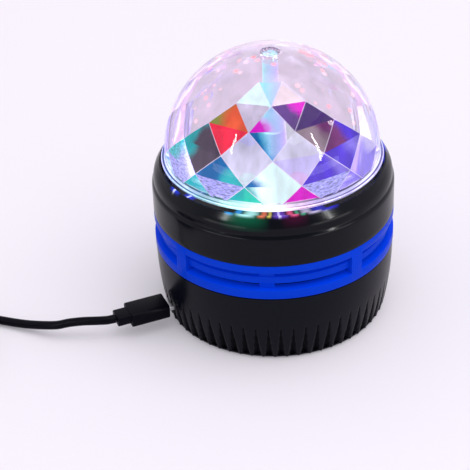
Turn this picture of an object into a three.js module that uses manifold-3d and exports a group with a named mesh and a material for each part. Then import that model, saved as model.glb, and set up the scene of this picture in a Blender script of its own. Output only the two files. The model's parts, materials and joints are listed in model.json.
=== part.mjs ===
// A rotating star projector lamp: clear faceted dome over coloured lights, two black housings with a blue
// vent ring between them, a geared motor inside, and a plug-in lead with its spare length coiled.
// Lengths are in millimetres, angles in degrees. +Z is up, the lamp stands on z = 0 and its socket faces -X.

import * as THREE from 'three';
import { mergeVertices } from 'three/addons/utils/BufferGeometryUtils.js';
import Module from 'manifold-3d';

const wasm = await Module();
wasm.setup();

// Clearances
const fitGap = 0.3;
const cutOverrun = 1;
const weldTolerance = 0.0001;

// Facet counts
const bodySteps = 40;
const roomSteps = 32;
const boltSteps = 8;
const shaftSteps = 12;
const footSteps = 12;
const sectorSteps = 4;
const cornerSteps = 2;
const shoulderSteps = 4;
const domeSteps = 8;
const wireSides = 8;
const wireSteps = 8;

// Outer shells
const bodyRadius = 48;
const lowerTopInset = 0.2;
const lowerBottomInset = 3.1;
const lowerCurvePower = 2.2;
const lowerHeight = 30.2;
const shellWall = 2.2;
const lowerLevelShares = [1];

// Flutes round the foot of the lower housing
const fluteCount = 52;
const fluteSteps = 3;
const fluteHeight = 13.8;
const fluteDepth = 1.6;
const fluteCutRadius = 3.2;
const fluteDepthPower = 1.3;
const fluteLevelShares = [0, 0.35, 0.7, 1];

// Bottom cover, its screws and feet
const coverThickness = 2.4;
const footProud = 0.8;
const footSink = 0.8;
const footRadius = 5;
const footEdge = 0.4;
const footMargin = 2.6;
const pillarAngle = 63;
const barAngle = 18;
const quarterTurn = 90;
const quarterCount = 4;
const coverScrewMargin = 2.7;
const coverScrewRadius = 1.25;
const coverScrewHeadRadius = 2.4;
const coverScrewHeadHeight = 1.4;
const coverScrewLength = 9;
const coverBossRadius = 3.2;
const coverBossHeight = 10;
const ribThickness = 2;

// Vent ring
const ventWall = 2.4;
const ventRecess = 2.1;
const slatProud = 0.4;
const bottomFlangeHeight = 3.8;
const lowerSlotHeight = 2.3;
const slatHeight = 2.9;
const upperSlotHeight = 2.6;
const topFlangeHeight = 3.2;
const barWidth = 5.5;
const pillarWidth = 5.7;

// Long screws that clamp the three shells
const housingBossInset = 0.7;
const housingScrewRadius = 1.5;
const housingScrewHeadRadius = 2.7;
const housingScrewHeadHeight = 2.2;
const housingBossRadius = 2.9;
const lowerLugHeight = 9;
const housingScrewGrip = 9;

// Upper housing
const skirtWall = 2;
const skirtHeight = 11.4;
const breakInset = 0.5;
const breakHeight = 1.8;
const lipInset = 3.2;
const lipThickness = 0.7;
const lipHeight = 7.2;
const shoulderBulge = 0.75;
const trayDepth = 5.2;
const trayThickness = 2;
const wireHoleRadius = 3.2;
const wireHoleInset = 7;

// Clear dome
const domeGap = 1.2;
const domeWall = 1.3;
const domeRimGap = 0.4;
const domeRimProud = 1.4;
const domeRimHeight = 1.2;
const domeFlare = 0.3;
const domeCentreRise = 1;
const domeSkirtHeight = 1.8;
const domeSkirtWall = 2;
const facetCount = 12;
const facetRings = 6;
const facetPhase = 7;
const firstFacetPolar = 24.2;
const facetPolarStep = 14.2;
const columnTopRadius = 3;
const columnBottomRadius = 3.4;
const columnFloorGap = 0.8;
const columnGrip = 12;
const gussetReach = 5;
const gussetHeight = 6;
const gussetThickness = 1;
const poleDimpleRadius = 3.9;
const poleDimpleDepth = 0.4;

// Light board
const lightBoardMargin = 9.3;
const boardThickness = 1.6;
const lightBoardRise = 1;
const lightBoardHoleRadius = 6.4;
const padRadius = 3;
const ledCircle = 14;
const ledAngles = { green_led: 202, red_led: 292, white_led: 22, blue_led: 112 };
const ledBodySize = 5;
const ledBodyHeight = 1.2;
const ledLensRadius = 2.1;
const lensShares = [[1, 0], [0.92, 0.45], [0.7, 0.75], [0.38, 0.95], [0, 1]];
const ledLensHeight = 1.5;
const boardScrewRadius = 1;
const boardScrewHeadRadius = 1.9;
const boardScrewHeadHeight = 1.2;
const lightBoardScrewInset = 5;
const lightBoardScrewAngles = [135, 315];

// Gear train
const gearModule = 0.7;
const wheelTeeth = 32;
const pinionTeeth = 8;
const addendumShare = 0.75;
const dedendumShare = 1.05;
const toothRootShare = 0.5;
const toothTipShare = 0.18;
const gearThickness = 2;
const gearAirGap = 0.5;
const trainAngle = 75;
const pinRadius = 1;
const pinSeat = 1;
const outputShaftRadius = 2;
const outputPivotRadius = 1.4;
const bushWall = 1.7;
const bushFlangeProud = 1.4;
const bushFlangeHeight = 0.7;

// Gearbox plates and motor
const plateThickness = 1.6;
const postRadius = 2.6;
const postAirGap = 1;
const lastPostLean = 10;
const plateMargin = 1;
const plateCircleSteps = 16;
const gearboxScrewRadius = 1.25;
const gearboxScrewHeadRadius = 2.3;
const gearboxScrewHeadHeight = 1.6;
const motorRadius = 12;
const motorLength = 15;
const motorEdge = 1;
const motorNoseRadius = 3;
const motorNoseHeight = 1.2;
const endCapHeight = 2.5;
const endCapInset = 1.2;
const shaftInMotor = 8;

// Socket, plug and power board
const portHeight = 7.9;
const plugShellWidth = 6.85;
const plugShellHeight = 1.8;
const plugShellLength = 8.1;
const plugShellWall = 0.3;
const plugHollowDepth = 4;
const plugAirGap = 2.2;
const gripWidth = 10.9;
const gripHeight = 6.3;
const gripLength = 16;
const gripCorner = 1.6;
const neckWidth = 7.5;
const neckHeight = 4.5;
const neckLength = 5.4;
const neckCorner = 1.4;
const socketWall = 0.25;
const socketDepth = 7.2;
const socketSetback = 1.1;
const socketBackWall = 1;
const tongueWidth = 3.6;
const tongueThickness = 0.6;
const tongueLength = 4.2;
const powerBoardLength = 28;
const powerBoardWidth = 18;
const powerBoardOverhang = 4.2;
const powerBoardThickness = 1.2;
const powerScrewInset = 7.909;
const powerPostRadius = 2.4;
const powerScrewLength = 3.2;
const chipStep = 3;
const chipWidth = 4;
const chipLength = 5;
const chipHeight = 1.6;
const capacitorStep = 14;
const capacitorMargin = 0.7;
const capacitorRadius = 2.5;
const capacitorHeight = 7;

// Inner wires
const wireRadius = 0.6;
const wirePitch = 2.6;
const motorWireStep = 8;
const motorWireSagShare = 0.45;
const motorTerminalReach = 6;
const lightWireBow = 3;

// Cord, its coil, the tie and the far plug
const cordRadius = 1.75;
const cordSides = 8;
const cordSteps = 12;
const coilSides = 6;
const coilStepsPerTurn = 24;
const coilPitch = 3.95;
const coilOuterRadius = 26.7;
const coilTurns = 7.369;
const coilHeading = 137;
const coilLift = 0.75;
const leadOutLength = 20;
const leadOutSteps = 8;
const leadOutFallShares = [0.2, 0.9];
const tieAngle = 300;
const tieWidth = 6;
const tieThickness = 0.5;
const tieInnerGap = 0.75;
const farGripWidth = 15.5;
const farGripHeight = 8;
const farGripLength = 24;
const farGripCorner = 2.4;
const farNeckLength = 5;
const farNeckRadius = 2.9;
const farFloorGap = 0.1;
const farShellWidth = 12;
const farShellHeight = 4.5;
const farShellLength = 12;
const farShellWall = 0.3;
const farHollowDepth = 11;
const farTongueHeight = 1.9;

// The cord's route from the end of the plug's neck: x and y in millimetres, then the share of the way up
// from the coil's lower layer to the socket.
const cordRoute = [
  [0, 0, 1],
  [-3.2, 0.35, 1],
  [-6.8, 1.9, 0.97],
  [-12, 4.7, 0.89],
  [-17.2, 7.4, 0.74],
  [-22.4, 10.3, 0.5],
  [-31.4, 19, 0.1],
  [-40.7, 28.2, -0.06],
  [-49.4, 36.2, -0.02],
  [-56, 42.4, 0],
];

// Materials, as the photograph shows them
function finish(color, roughness, metalness, extra = {}) {
  return new THREE.MeshStandardMaterial({ color, roughness, metalness, ...extra });
}

const blackGloss = finish(0x121215, 0.18, 0);
const blackSatin = finish(0x17171a, 0.35, 0);
const blackMoulding = finish(0x1a1a1c, 0.55, 0);
const ventBlue = finish(0x0846eb, 0.3, 0);
const clearPlastic = finish(0xe8eef5, 0.05, 0, { transparent: true, opacity: 0.45 });
const footRubber = finish(0x202022, 0.9, 0);
const steel = finish(0xb8babd, 0.3, 1);
const darkSteel = finish(0x5c5e62, 0.4, 1);
const brass = finish(0xb89a4e, 0.3, 1);
const gearPlastic = finish(0xeeeeea, 0.45, 0);
const platePlastic = finish(0xc9cbcd, 0.5, 0);
const boardWhite = finish(0xf2f2f0, 0.4, 0);
const boardGreen = finish(0x1f6b3a, 0.45, 0);
const chipBlack = finish(0x1b1b1d, 0.6, 0);
const canSleeve = finish(0x26336b, 0.4, 0);
const wireRed = finish(0xb3201c, 0.45, 0);
const wireBlack = finish(0x161618, 0.45, 0);
const lightFinishes = {
  green_led: finish(0x5fe58a, 0.2, 0),
  red_led: finish(0xff5a4a, 0.2, 0),
  white_led: finish(0xfdfcf2, 0.2, 0),
  blue_led: finish(0x4a6bff, 0.2, 0),
};

// Geometry helpers
const radians = (angle) => THREE.MathUtils.degToRad(angle);
const degrees = (angle) => THREE.MathUtils.radToDeg(angle);
const polar = (radius, angle) => [radius * Math.cos(radians(angle)), radius * Math.sin(radians(angle))];

// Makes a solid of a closed surface, with its shared corners merged and its faces pointing out.
function solidOf(geometry) {
  const bare = new THREE.BufferGeometry();
  bare.setAttribute('position', geometry.getAttribute('position'));
  bare.setIndex(geometry.index);
  const welded = mergeVertices(bare, weldTolerance);
  const corners = welded.index.array;
  const place = welded.getAttribute('position');
  const point = (i) => new THREE.Vector3().fromBufferAttribute(place, i);
  const faces = [];
  let sixVolumes = 0;
  for (let i = 0; i < corners.length; i += 3) {
    const [a, b, c] = [corners[i], corners[i + 1], corners[i + 2]];
    if (a === b || b === c || c === a) continue;
    faces.push([a, b, c]);
    sixVolumes += point(a).dot(point(b).cross(point(c)));
  }
  const outward = sixVolumes > 0 ? faces : faces.map(([a, b, c]) => [a, c, b]);
  const mesh = new wasm.Mesh({
    numProp: 3,
    vertProperties: new Float32Array(place.array),
    triVerts: new Uint32Array(outward.flat()),
  });
  return new wasm.Manifold(mesh);
}

// Turns a profile of [radius, height] points about the vertical axis.
function turned(profile, steps = bodySteps) {
  const points = profile.map(([radius, height]) => new THREE.Vector2(radius, height));
  return solidOf(new THREE.LatheGeometry(points, steps).rotateX(Math.PI / 2));
}

function rod(radius, from, to, steps = shaftSteps) {
  return turned([[0, from], [radius, from], [radius, to], [0, to]], steps);
}

function tubeRing(innerRadius, outerRadius, from, to, steps = bodySteps) {
  const profile = [[innerRadius, from], [outerRadius, from], [outerRadius, to], [innerRadius, to]];
  return turned([...profile, profile[0]], steps);
}

function block(width, depth, height, x = 0, y = 0, z = 0) {
  return solidOf(new THREE.BoxGeometry(width, depth, height).translate(x, y, z));
}

function extruded(shape, height, steps = cornerSteps) {
  const options = { depth: height, bevelEnabled: false, curveSegments: steps };
  return solidOf(new THREE.ExtrudeGeometry(shape, options));
}

function roundedOutline(width, height, corner) {
  const [x, y] = [width / 2 - corner, height / 2 - corner];
  const shape = new THREE.Shape();
  shape.absarc(x, y, corner, 0, Math.PI / 2);
  shape.absarc(-x, y, corner, Math.PI / 2, Math.PI);
  shape.absarc(-x, -y, corner, Math.PI, 1.5 * Math.PI);
  shape.absarc(x, -y, corner, 1.5 * Math.PI, 2 * Math.PI);
  shape.closePath();
  return shape;
}

// A bar of rounded section that runs along -X from x = from, its width along Y and its height along Z.
function roundedBar(width, height, corner, from, length) {
  const upright = extruded(roundedOutline(width, height, corner), length);
  return upright.rotate([0, -90, 0]).rotate([-90, 0, 0]).translate([from, 0, 0]);
}

function joined(solids) {
  return solids.reduce((whole, solid) => whole.add(solid));
}

function cutBy(solid, cutters) {
  return cutters.reduce((left, cutter) => left.subtract(cutter), solid);
}

// Copies of a solid at a radius and at evenly spaced angles, each turned to face outwards.
function ringOf(solid, radius, startAngle, count = quarterCount) {
  return Array.from({ length: count }, (_, i) =>
    solid.translate([radius, 0, 0]).rotate([0, 0, startAngle + (i * 360) / count]));
}

function smooth(share) {
  const held = Math.min(1, Math.max(0, share));
  return held * held * (3 - 2 * held);
}

// The scene graph
const lamp = new THREE.Group();

function group(parent, x = 0, y = 0, z = 0) {
  const child = new THREE.Group();
  child.position.set(x, y, z);
  parent.add(child);
  return child;
}

function piece(parent, name, solid, material, x = 0, y = 0, z = 0) {
  const { vertProperties, triVerts } = solid.getMesh();
  const geometry = new THREE.BufferGeometry();
  geometry.setAttribute('position', new THREE.BufferAttribute(vertProperties, 3));
  geometry.setIndex(new THREE.BufferAttribute(triVerts, 1));
  geometry.computeVertexNormals();
  const mesh = new THREE.Mesh(geometry, material);
  mesh.name = name;
  mesh.position.set(x, y, z);
  parent.add(mesh);
  return mesh;
}

// A screw with its head's underside at z = 0, its shank going up and its head below.
function screw(shankRadius, shankLength, headRadius, headHeight) {
  const socket = block(headRadius, headRadius / 4, headHeight, 0, 0, -headHeight);
  const body = turned([
    [0, -headHeight],
    [headRadius, -headHeight],
    [headRadius, 0],
    [shankRadius, 0],
    [shankRadius, shankLength - shankRadius],
    [0, shankLength],
  ], boltSteps);
  return body.subtract(socket);
}

// Heights of the main levels
const baseZ = footProud;
const ventZ = baseZ + lowerHeight;
const ventHeight = bottomFlangeHeight + lowerSlotHeight + slatHeight + upperSlotHeight + topFlangeHeight;
const upperZ = ventZ + ventHeight;
const lipZ = upperZ + skirtHeight + breakHeight + lipHeight;
const trayTopZ = lipZ - trayDepth;
const trayUnderZ = trayTopZ - trayThickness;
const lightBoardZ = trayTopZ + lightBoardRise;
const lightBoardTopZ = lightBoardZ + boardThickness;
const domeZ = lipZ + domeGap;
const portZ = baseZ + portHeight;

// Radii that follow from the body's
const ventFaceRadius = bodyRadius - ventRecess;
const ventInnerRadius = ventFaceRadius - ventWall;
const housingScrewCircle = ventInnerRadius - housingBossInset - housingBossRadius;
const lipRadius = bodyRadius - lipInset;
const lipInnerRadius = lipRadius - lipThickness;
const domeRadius = lipInnerRadius - domeRimGap - domeRimProud;
const domeSkirtRadius = domeRadius - domeSkirtWall;
const lightBoardRadius = domeSkirtRadius - lightBoardMargin;
const lightBoardScrewCircle = lightBoardRadius - lightBoardScrewInset;
const wireHoleX = wireHoleInset - lightBoardRadius;
const motorWireX = wireHoleX + motorWireStep;

// Lower housing: radius of the smooth surface and of the cut flutes at a height above its bottom edge
function lowerRadius(height) {
  const rise = height / lowerHeight;
  return bodyRadius - lowerTopInset - lowerBottomInset * (1 - rise) ** lowerCurvePower;
}

function fluteDepthAt(height) {
  return fluteDepth * Math.max(0, 1 - height / fluteHeight) ** fluteDepthPower;
}

function flutedRadius(height, step) {
  const radius = lowerRadius(height);
  const fluteWidth = (2 * Math.PI * radius) / fluteCount;
  const offset = ((step % fluteSteps) / fluteSteps - 0.5) * fluteWidth;
  const cut = fluteDepthAt(height) - offset ** 2 / (2 * fluteCutRadius);
  return radius - Math.max(0, cut);
}

function cavityRadius(height) {
  return lowerRadius(height) - fluteDepthAt(height) - shellWall;
}

const lowerLevels = [
  ...fluteLevelShares.map((share) => share * fluteHeight),
  ...lowerLevelShares.map((share) => share * lowerHeight),
];

function flutedBody() {
  const columns = fluteCount * fluteSteps;
  const rows = lowerLevels.length;
  const positions = [];
  const faces = [];
  for (const height of lowerLevels) {
    for (let i = 0; i < columns; i += 1) {
      const angle = (2 * Math.PI * i) / columns;
      const radius = flutedRadius(height, i);
      positions.push(radius * Math.cos(angle), radius * Math.sin(angle), height);
    }
  }
  const bottomCentre = positions.length / 3;
  const topCentre = bottomCentre + 1;
  positions.push(0, 0, 0, 0, 0, lowerHeight);
  for (let i = 0; i < columns; i += 1) {
    const next = (i + 1) % columns;
    for (let row = 0; row + 1 < rows; row += 1) {
      const [low, high] = [row * columns, (row + 1) * columns];
      faces.push(low + i, low + next, high + next, low + i, high + next, high + i);
    }
    const last = (rows - 1) * columns;
    faces.push(bottomCentre, next, i, topCentre, last + i, last + next);
  }
  const geometry = new THREE.BufferGeometry();
  geometry.setAttribute('position', new THREE.Float32BufferAttribute(positions, 3));
  geometry.setIndex(faces);
  return solidOf(geometry);
}

// The room inside the lower housing, grown outwards by part of its wall where ribs root in it.
function lowerRoom(growth) {
  const heights = [0, fluteHeight, lowerHeight];
  const wallPoints = heights.map((height) => [cavityRadius(height) + growth, height]);
  const mouth = [wallPoints[0][0], -cutOverrun];
  const top = [wallPoints[wallPoints.length - 1][0], lowerHeight + cutOverrun];
  return turned([[0, -cutOverrun], mouth, ...wallPoints, top, [0, lowerHeight + cutOverrun]], roomSteps);
}

// Posts on a circle, each with a rib that reaches out past the wall.
function ribbedPosts(circle, radius, from, to, startAngle) {
  const post = joined([
    rod(radius, from, to, boltSteps),
    block(bodyRadius - circle, ribThickness, to - from, (bodyRadius - circle) / 2, 0, (from + to) / 2),
  ]);
  return joined(ringOf(post, circle, startAngle));
}

const baseGroup = group(lamp, 0, 0, baseZ);
const coverRadius = cavityRadius(0) - fitGap;
const footCircle = coverRadius - footMargin - footRadius;
const coverScrewCircle = coverRadius - coverScrewMargin - coverScrewHeadRadius;
const housingScrewSeat = lowerHeight - lowerLugHeight;

function lowerHousing() {
  const shell = flutedBody().subtract(lowerRoom(0));
  const coverPosts = ribbedPosts(coverScrewCircle, coverBossRadius, coverThickness,
    coverThickness + coverBossHeight, pillarAngle);
  const lugs = ribbedPosts(housingScrewCircle, housingBossRadius, housingScrewSeat, lowerHeight, barAngle);
  const inside = joined([coverPosts, lugs]).intersect(lowerRoom(shellWall / 2));
  const coverScrewHole = rod(coverScrewRadius + fitGap, 0, coverScrewLength + fitGap, boltSteps);
  const lugHole = rod(housingScrewRadius + fitGap, 0, lowerHeight + cutOverrun, boltSteps);
  const portCut = block(shellWall * 4, socketWidth + 2 * fitGap, socketHeight + 2 * fitGap,
    -lowerRadius(portHeight), 0, portHeight);
  return cutBy(joined([shell, inside]), [
    ...ringOf(coverScrewHole, coverScrewCircle, pillarAngle),
    ...ringOf(lugHole, housingScrewCircle, barAngle),
    portCut,
  ]);
}

// Socket and plug sizes that follow from each other
const socketWidth = plugShellWidth + 2 * fitGap + 2 * socketWall;
const socketHeight = plugShellHeight + 2 * fitGap + 2 * socketWall;
const gripX = -(lowerRadius(portHeight) + plugAirGap);
const plugTipX = gripX + plugShellLength;
const socketX = -(lowerRadius(portHeight) - socketSetback);
const powerBoardTop = portHeight - socketHeight / 2;
const powerBoardUnder = powerBoardTop - powerBoardThickness;
const powerBoardX = socketX + powerBoardOverhang;
const powerScrewX = powerBoardX + powerScrewInset;
const powerScrewY = powerBoardWidth / 2 - powerPostRadius;
const chipX = powerScrewX + chipStep;
const capacitorX = powerScrewX + capacitorStep;
const capacitorY = capacitorRadius + capacitorMargin - powerBoardWidth / 2;

piece(baseGroup, 'lower_housing', lowerHousing(), blackSatin);

function bottomCover() {
  const posts = [-1, 1].map((side) =>
    rod(powerPostRadius, coverThickness / 2, powerBoardUnder, boltSteps)
      .translate([powerScrewX, side * powerScrewY, 0]));
  const postHoles = [-1, 1].map((side) =>
    rod(boardScrewRadius + fitGap, powerBoardTop - powerScrewLength - fitGap, powerBoardTop, boltSteps)
      .translate([powerScrewX, side * powerScrewY, 0]));
  const footSeat = rod(footRadius + fitGap, -cutOverrun, footSink, footSteps);
  const headSeat = rod(coverScrewHeadRadius + fitGap, -cutOverrun, coverScrewHeadHeight, boltSteps);
  const screwHole = rod(coverScrewRadius + fitGap, -cutOverrun, coverThickness + cutOverrun, boltSteps);
  return cutBy(joined([rod(coverRadius, 0, coverThickness, bodySteps), ...posts]), [
    ...postHoles,
    ...ringOf(footSeat, footCircle, barAngle),
    ...ringOf(headSeat, coverScrewCircle, pillarAngle),
    ...ringOf(screwHole, coverScrewCircle, pillarAngle),
  ]);
}

piece(baseGroup, 'bottom_cover', bottomCover(), blackMoulding);

const foot = turned([
  [0, -footProud],
  [footRadius - footEdge, -footProud],
  [footRadius, footEdge - footProud],
  [footRadius, footSink],
  [0, footSink],
], footSteps);
const coverScrew = screw(coverScrewRadius, coverScrewLength - coverScrewHeadHeight,
  coverScrewHeadRadius, coverScrewHeadHeight);
const housingScrewLength = lowerLugHeight + ventHeight + housingScrewGrip;
const housingScrew = screw(housingScrewRadius, housingScrewLength, housingScrewHeadRadius,
  housingScrewHeadHeight);
for (let i = 0; i < quarterCount; i += 1) {
  const barTurn = barAngle + i * quarterTurn;
  const pillarTurn = pillarAngle + i * quarterTurn;
  piece(baseGroup, `rubber_foot_${i + 1}`, foot, footRubber, ...polar(footCircle, barTurn));
  piece(baseGroup, `cover_screw_${i + 1}`, coverScrew, darkSteel,
    ...polar(coverScrewCircle, pillarTurn), coverScrewHeadHeight);
  piece(baseGroup, `housing_screw_${i + 1}`, housingScrew, darkSteel,
    ...polar(housingScrewCircle, barTurn), housingScrewSeat);
}

// Power board with the socket
const boardCentreX = powerBoardX + powerBoardLength / 2;
const powerScrewHole = rod(boardScrewRadius + fitGap, -cutOverrun, powerBoardTop + cutOverrun, boltSteps);
const powerBoard = cutBy(
  block(powerBoardLength, powerBoardWidth, powerBoardThickness,
    boardCentreX, 0, powerBoardTop - powerBoardThickness / 2),
  [-1, 1].map((side) => powerScrewHole.translate([powerScrewX, side * powerScrewY, 0])),
);
piece(baseGroup, 'power_board', powerBoard, boardGreen);

const boardScrew = screw(boardScrewRadius, powerScrewLength, boardScrewHeadRadius, boardScrewHeadHeight);
const hangingBoardScrew = boardScrew.rotate([180, 0, 0]);
[-1, 1].forEach((side, i) => {
  piece(baseGroup, `power_board_screw_${i + 1}`, hangingBoardScrew, steel,
    powerScrewX, side * powerScrewY, powerBoardTop);
});

const socketShell = block(socketDepth, socketWidth, socketHeight, socketX + socketDepth / 2, 0, portHeight)
  .subtract(block(socketDepth, socketWidth - 2 * socketWall, socketHeight - 2 * socketWall,
    socketX + socketDepth / 2 - socketBackWall, 0, portHeight));
piece(baseGroup, 'usb_socket', socketShell, steel);
const socketFloorX = socketX + socketDepth - socketBackWall;
piece(baseGroup, 'socket_tongue', block(tongueLength, tongueWidth, tongueThickness,
  socketFloorX - tongueLength / 2, 0, portHeight), chipBlack);
piece(baseGroup, 'driver_chip', block(chipLength, chipWidth, chipHeight,
  chipX, 0, powerBoardTop + chipHeight / 2), chipBlack);
piece(baseGroup, 'capacitor', rod(capacitorRadius, powerBoardTop, powerBoardTop + capacitorHeight),
  canSleeve, capacitorX, capacitorY);

// Vent ring: flanges, a slat between two slots, flush bars and recessed pillars
const ventGroup = group(lamp, 0, 0, ventZ);
const lowerSlotZ = bottomFlangeHeight;
const slatZ = lowerSlotZ + lowerSlotHeight;
const upperSlotZ = slatZ + slatHeight;
const topFlangeZ = upperSlotZ + upperSlotHeight;

function sector(fromAngle, toAngle, from, to) {
  const [start, end] = [radians(fromAngle), radians(toAngle)];
  const shape = new THREE.Shape();
  shape.absarc(0, 0, bodyRadius + cutOverrun, start, end);
  shape.absarc(0, 0, ventInnerRadius - cutOverrun, end, start, true);
  shape.closePath();
  return extruded(shape, to - from, sectorSteps).translate([0, 0, from]);
}

function ventRing() {
  const slatRadius = ventFaceRadius + slatProud;
  const profile = [
    [ventInnerRadius, 0],
    [bodyRadius, 0],
    [bodyRadius, lowerSlotZ],
    [ventFaceRadius, lowerSlotZ],
    [ventFaceRadius, slatZ],
    [slatRadius, slatZ],
    [slatRadius, upperSlotZ],
    [ventFaceRadius, upperSlotZ],
    [ventFaceRadius, topFlangeZ],
    [bodyRadius, topFlangeZ],
    [bodyRadius, ventHeight],
    [ventInnerRadius, ventHeight],
    [ventInnerRadius, 0],
  ];
  const band = tubeRing(ventInnerRadius, bodyRadius, lowerSlotZ, topFlangeZ);
  const bars = ringOf(block(bodyRadius, barWidth, ventHeight * 2), bodyRadius, barAngle)
    .map((bar) => band.intersect(bar));
  const barShare = degrees(Math.asin(barWidth / 2 / bodyRadius));
  const pillarShare = degrees(Math.asin(pillarWidth / 2 / ventFaceRadius));
  const slots = [];
  for (let i = 0; i < quarterCount; i += 1) {
    const bar = barAngle + i * quarterTurn;
    const pillar = pillarAngle + i * quarterTurn;
    const windows = [
      [bar + barShare, pillar - pillarShare],
      [pillar + pillarShare, bar + quarterTurn - barShare],
    ];
    for (const [from, to] of windows) {
      slots.push(sector(from, to, lowerSlotZ, slatZ));
      slots.push(sector(from, to, upperSlotZ, topFlangeZ));
    }
  }
  const lugWidth = ventInnerRadius - housingScrewCircle + ventWall / 2;
  const lug = joined([
    rod(housingBossRadius, 0, ventHeight),
    block(lugWidth, ribThickness, ventHeight, lugWidth / 2, 0, ventHeight / 2),
  ]);
  const lugHole = rod(housingScrewRadius + fitGap, -cutOverrun, ventHeight + cutOverrun, boltSteps);
  const whole = joined([cutBy(turned(profile), slots), ...bars, ...ringOf(lug, housingScrewCircle, barAngle)]);
  return cutBy(whole, ringOf(lugHole, housingScrewCircle, barAngle));
}

piece(ventGroup, 'vent_ring', ventRing(), ventBlue);

// Gear train: centres of the four shafts, seen from above, on the corners of a square
const pinionRadius = (pinionTeeth * gearModule) / 2;
const wheelRadius = (wheelTeeth * gearModule) / 2;
const wheelTipRadius = wheelRadius + addendumShare * gearModule;
const gearSpacing = pinionRadius + wheelRadius;
const secondPlace = polar(gearSpacing, trainAngle);
const stepOn = ([x, y], angle) => {
  const [dx, dy] = polar(gearSpacing, angle);
  return [x + dx, y + dy];
};
const firstPlace = stepOn(secondPlace, trainAngle - quarterTurn);
const motorPlace = stepOn(firstPlace, trainAngle + 2 * quarterTurn);
const postReach = wheelTipRadius + postRadius + postAirGap;
const outFrom = ([x, y], angle) => {
  const [dx, dy] = polar(postReach, angle);
  return [x + dx, y + dy];
};
const halfQuarter = quarterTurn / 2;
const postPlaces = [
  outFrom([0, 0], trainAngle + quarterTurn + halfQuarter),
  outFrom(secondPlace, trainAngle + halfQuarter),
  outFrom(firstPlace, trainAngle - lastPostLean),
];

// Levels inside the gearbox, below the tray that it hangs from
const gearboxGroup = group(lamp, 0, 0, trayUnderZ);
const coverUnder = -plateThickness;
const outputGearTop = coverUnder - gearAirGap;
const outputGearUnder = outputGearTop - gearThickness;
const secondWheelTop = outputGearUnder - gearAirGap;
const secondWheelUnder = secondWheelTop - gearThickness;
const firstWheelTop = secondWheelUnder - gearAirGap;
const firstWheelUnder = firstWheelTop - gearThickness;
const baseTop = firstWheelUnder - gearAirGap;
const baseUnder = baseTop - plateThickness;
const motorUnder = baseUnder - motorLength;

// A spur gear's outline with a tooth's middle at the phase angle
function gearOutline(teeth, phase) {
  const pitchRadius = (teeth * gearModule) / 2;
  const tipRadius = pitchRadius + addendumShare * gearModule;
  const rootRadius = pitchRadius - dedendumShare * gearModule;
  const rootHalf = (toothRootShare * Math.PI * gearModule) / 2 / pitchRadius;
  const tipHalf = (toothTipShare * Math.PI * gearModule) / 2 / pitchRadius;
  const points = [];
  for (let i = 0; i < teeth; i += 1) {
    const middle = radians(phase) + (2 * Math.PI * i) / teeth;
    const corners = [
      [rootRadius, middle - rootHalf],
      [tipRadius, middle - tipHalf],
      [tipRadius, middle + tipHalf],
      [rootRadius, middle + rootHalf],
    ];
    for (const [radius, angle] of corners) {
      points.push(new THREE.Vector2(radius * Math.cos(angle), radius * Math.sin(angle)));
    }
  }
  return new THREE.Shape(points);
}

function gear(teeth, phase, from, to) {
  return extruded(gearOutline(teeth, phase), to - from).translate([0, 0, from]);
}

function bored(solid, radius) {
  const reach = motorLength + plateThickness;
  return solid.subtract(rod(radius + fitGap, -2 * reach, reach, shaftSteps));
}

const halfTooth = 180 / pinionTeeth;
const secondGear = joined([
  gear(pinionTeeth, trainAngle + 180 + halfTooth, secondWheelTop, outputGearTop),
  gear(wheelTeeth, trainAngle - quarterTurn, secondWheelUnder, secondWheelTop),
]);
const firstGear = joined([
  gear(pinionTeeth, trainAngle - quarterTurn + 180 + halfTooth, firstWheelTop, secondWheelTop),
  gear(wheelTeeth, trainAngle + 180, firstWheelUnder, firstWheelTop),
]);
const motorPinion = gear(pinionTeeth, trainAngle + halfTooth, firstWheelUnder, firstWheelTop);
const pin = rod(pinRadius, baseTop - pinSeat, coverUnder + pinSeat);
piece(gearboxGroup, 'first_gear', bored(firstGear, pinRadius), gearPlastic, ...firstPlace);
piece(gearboxGroup, 'first_gear_pin', pin, steel, ...firstPlace);
piece(gearboxGroup, 'second_gear', bored(secondGear, pinRadius), gearPlastic, ...secondPlace);
piece(gearboxGroup, 'second_gear_pin', pin, steel, ...secondPlace);
piece(gearboxGroup, 'motor_pinion', bored(motorPinion, pinRadius), brass, ...motorPlace);

const outputGear = gear(wheelTeeth, trainAngle, outputGearUnder, outputGearTop);
piece(gearboxGroup, 'output_gear', bored(outputGear, outputShaftRadius), gearPlastic);
const shaftTop = lightBoardTopZ + columnFloorGap + columnGrip - trayUnderZ;
const outputShaft = turned([
  [0, baseTop - pinSeat],
  [outputPivotRadius, baseTop - pinSeat],
  [outputPivotRadius, outputGearUnder - gearAirGap / 2],
  [outputShaftRadius, outputGearUnder - gearAirGap / 2],
  [outputShaftRadius, shaftTop],
  [0, shaftTop],
], shaftSteps);
piece(gearboxGroup, 'output_shaft', outputShaft, steel);

const bushInnerRadius = outputShaftRadius + fitGap;
const bushRadius = bushInnerRadius + bushWall;
const bushFlangeRadius = bushRadius + bushFlangeProud;
const outputBush = turned([
  [bushInnerRadius, coverUnder],
  [bushRadius, coverUnder],
  [bushRadius, trayThickness],
  [bushFlangeRadius, trayThickness],
  [bushFlangeRadius, trayThickness + bushFlangeHeight],
  [bushInnerRadius, trayThickness + bushFlangeHeight],
  [bushInnerRadius, coverUnder],
], shaftSteps);
piece(gearboxGroup, 'output_bush', outputBush, brass);

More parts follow.
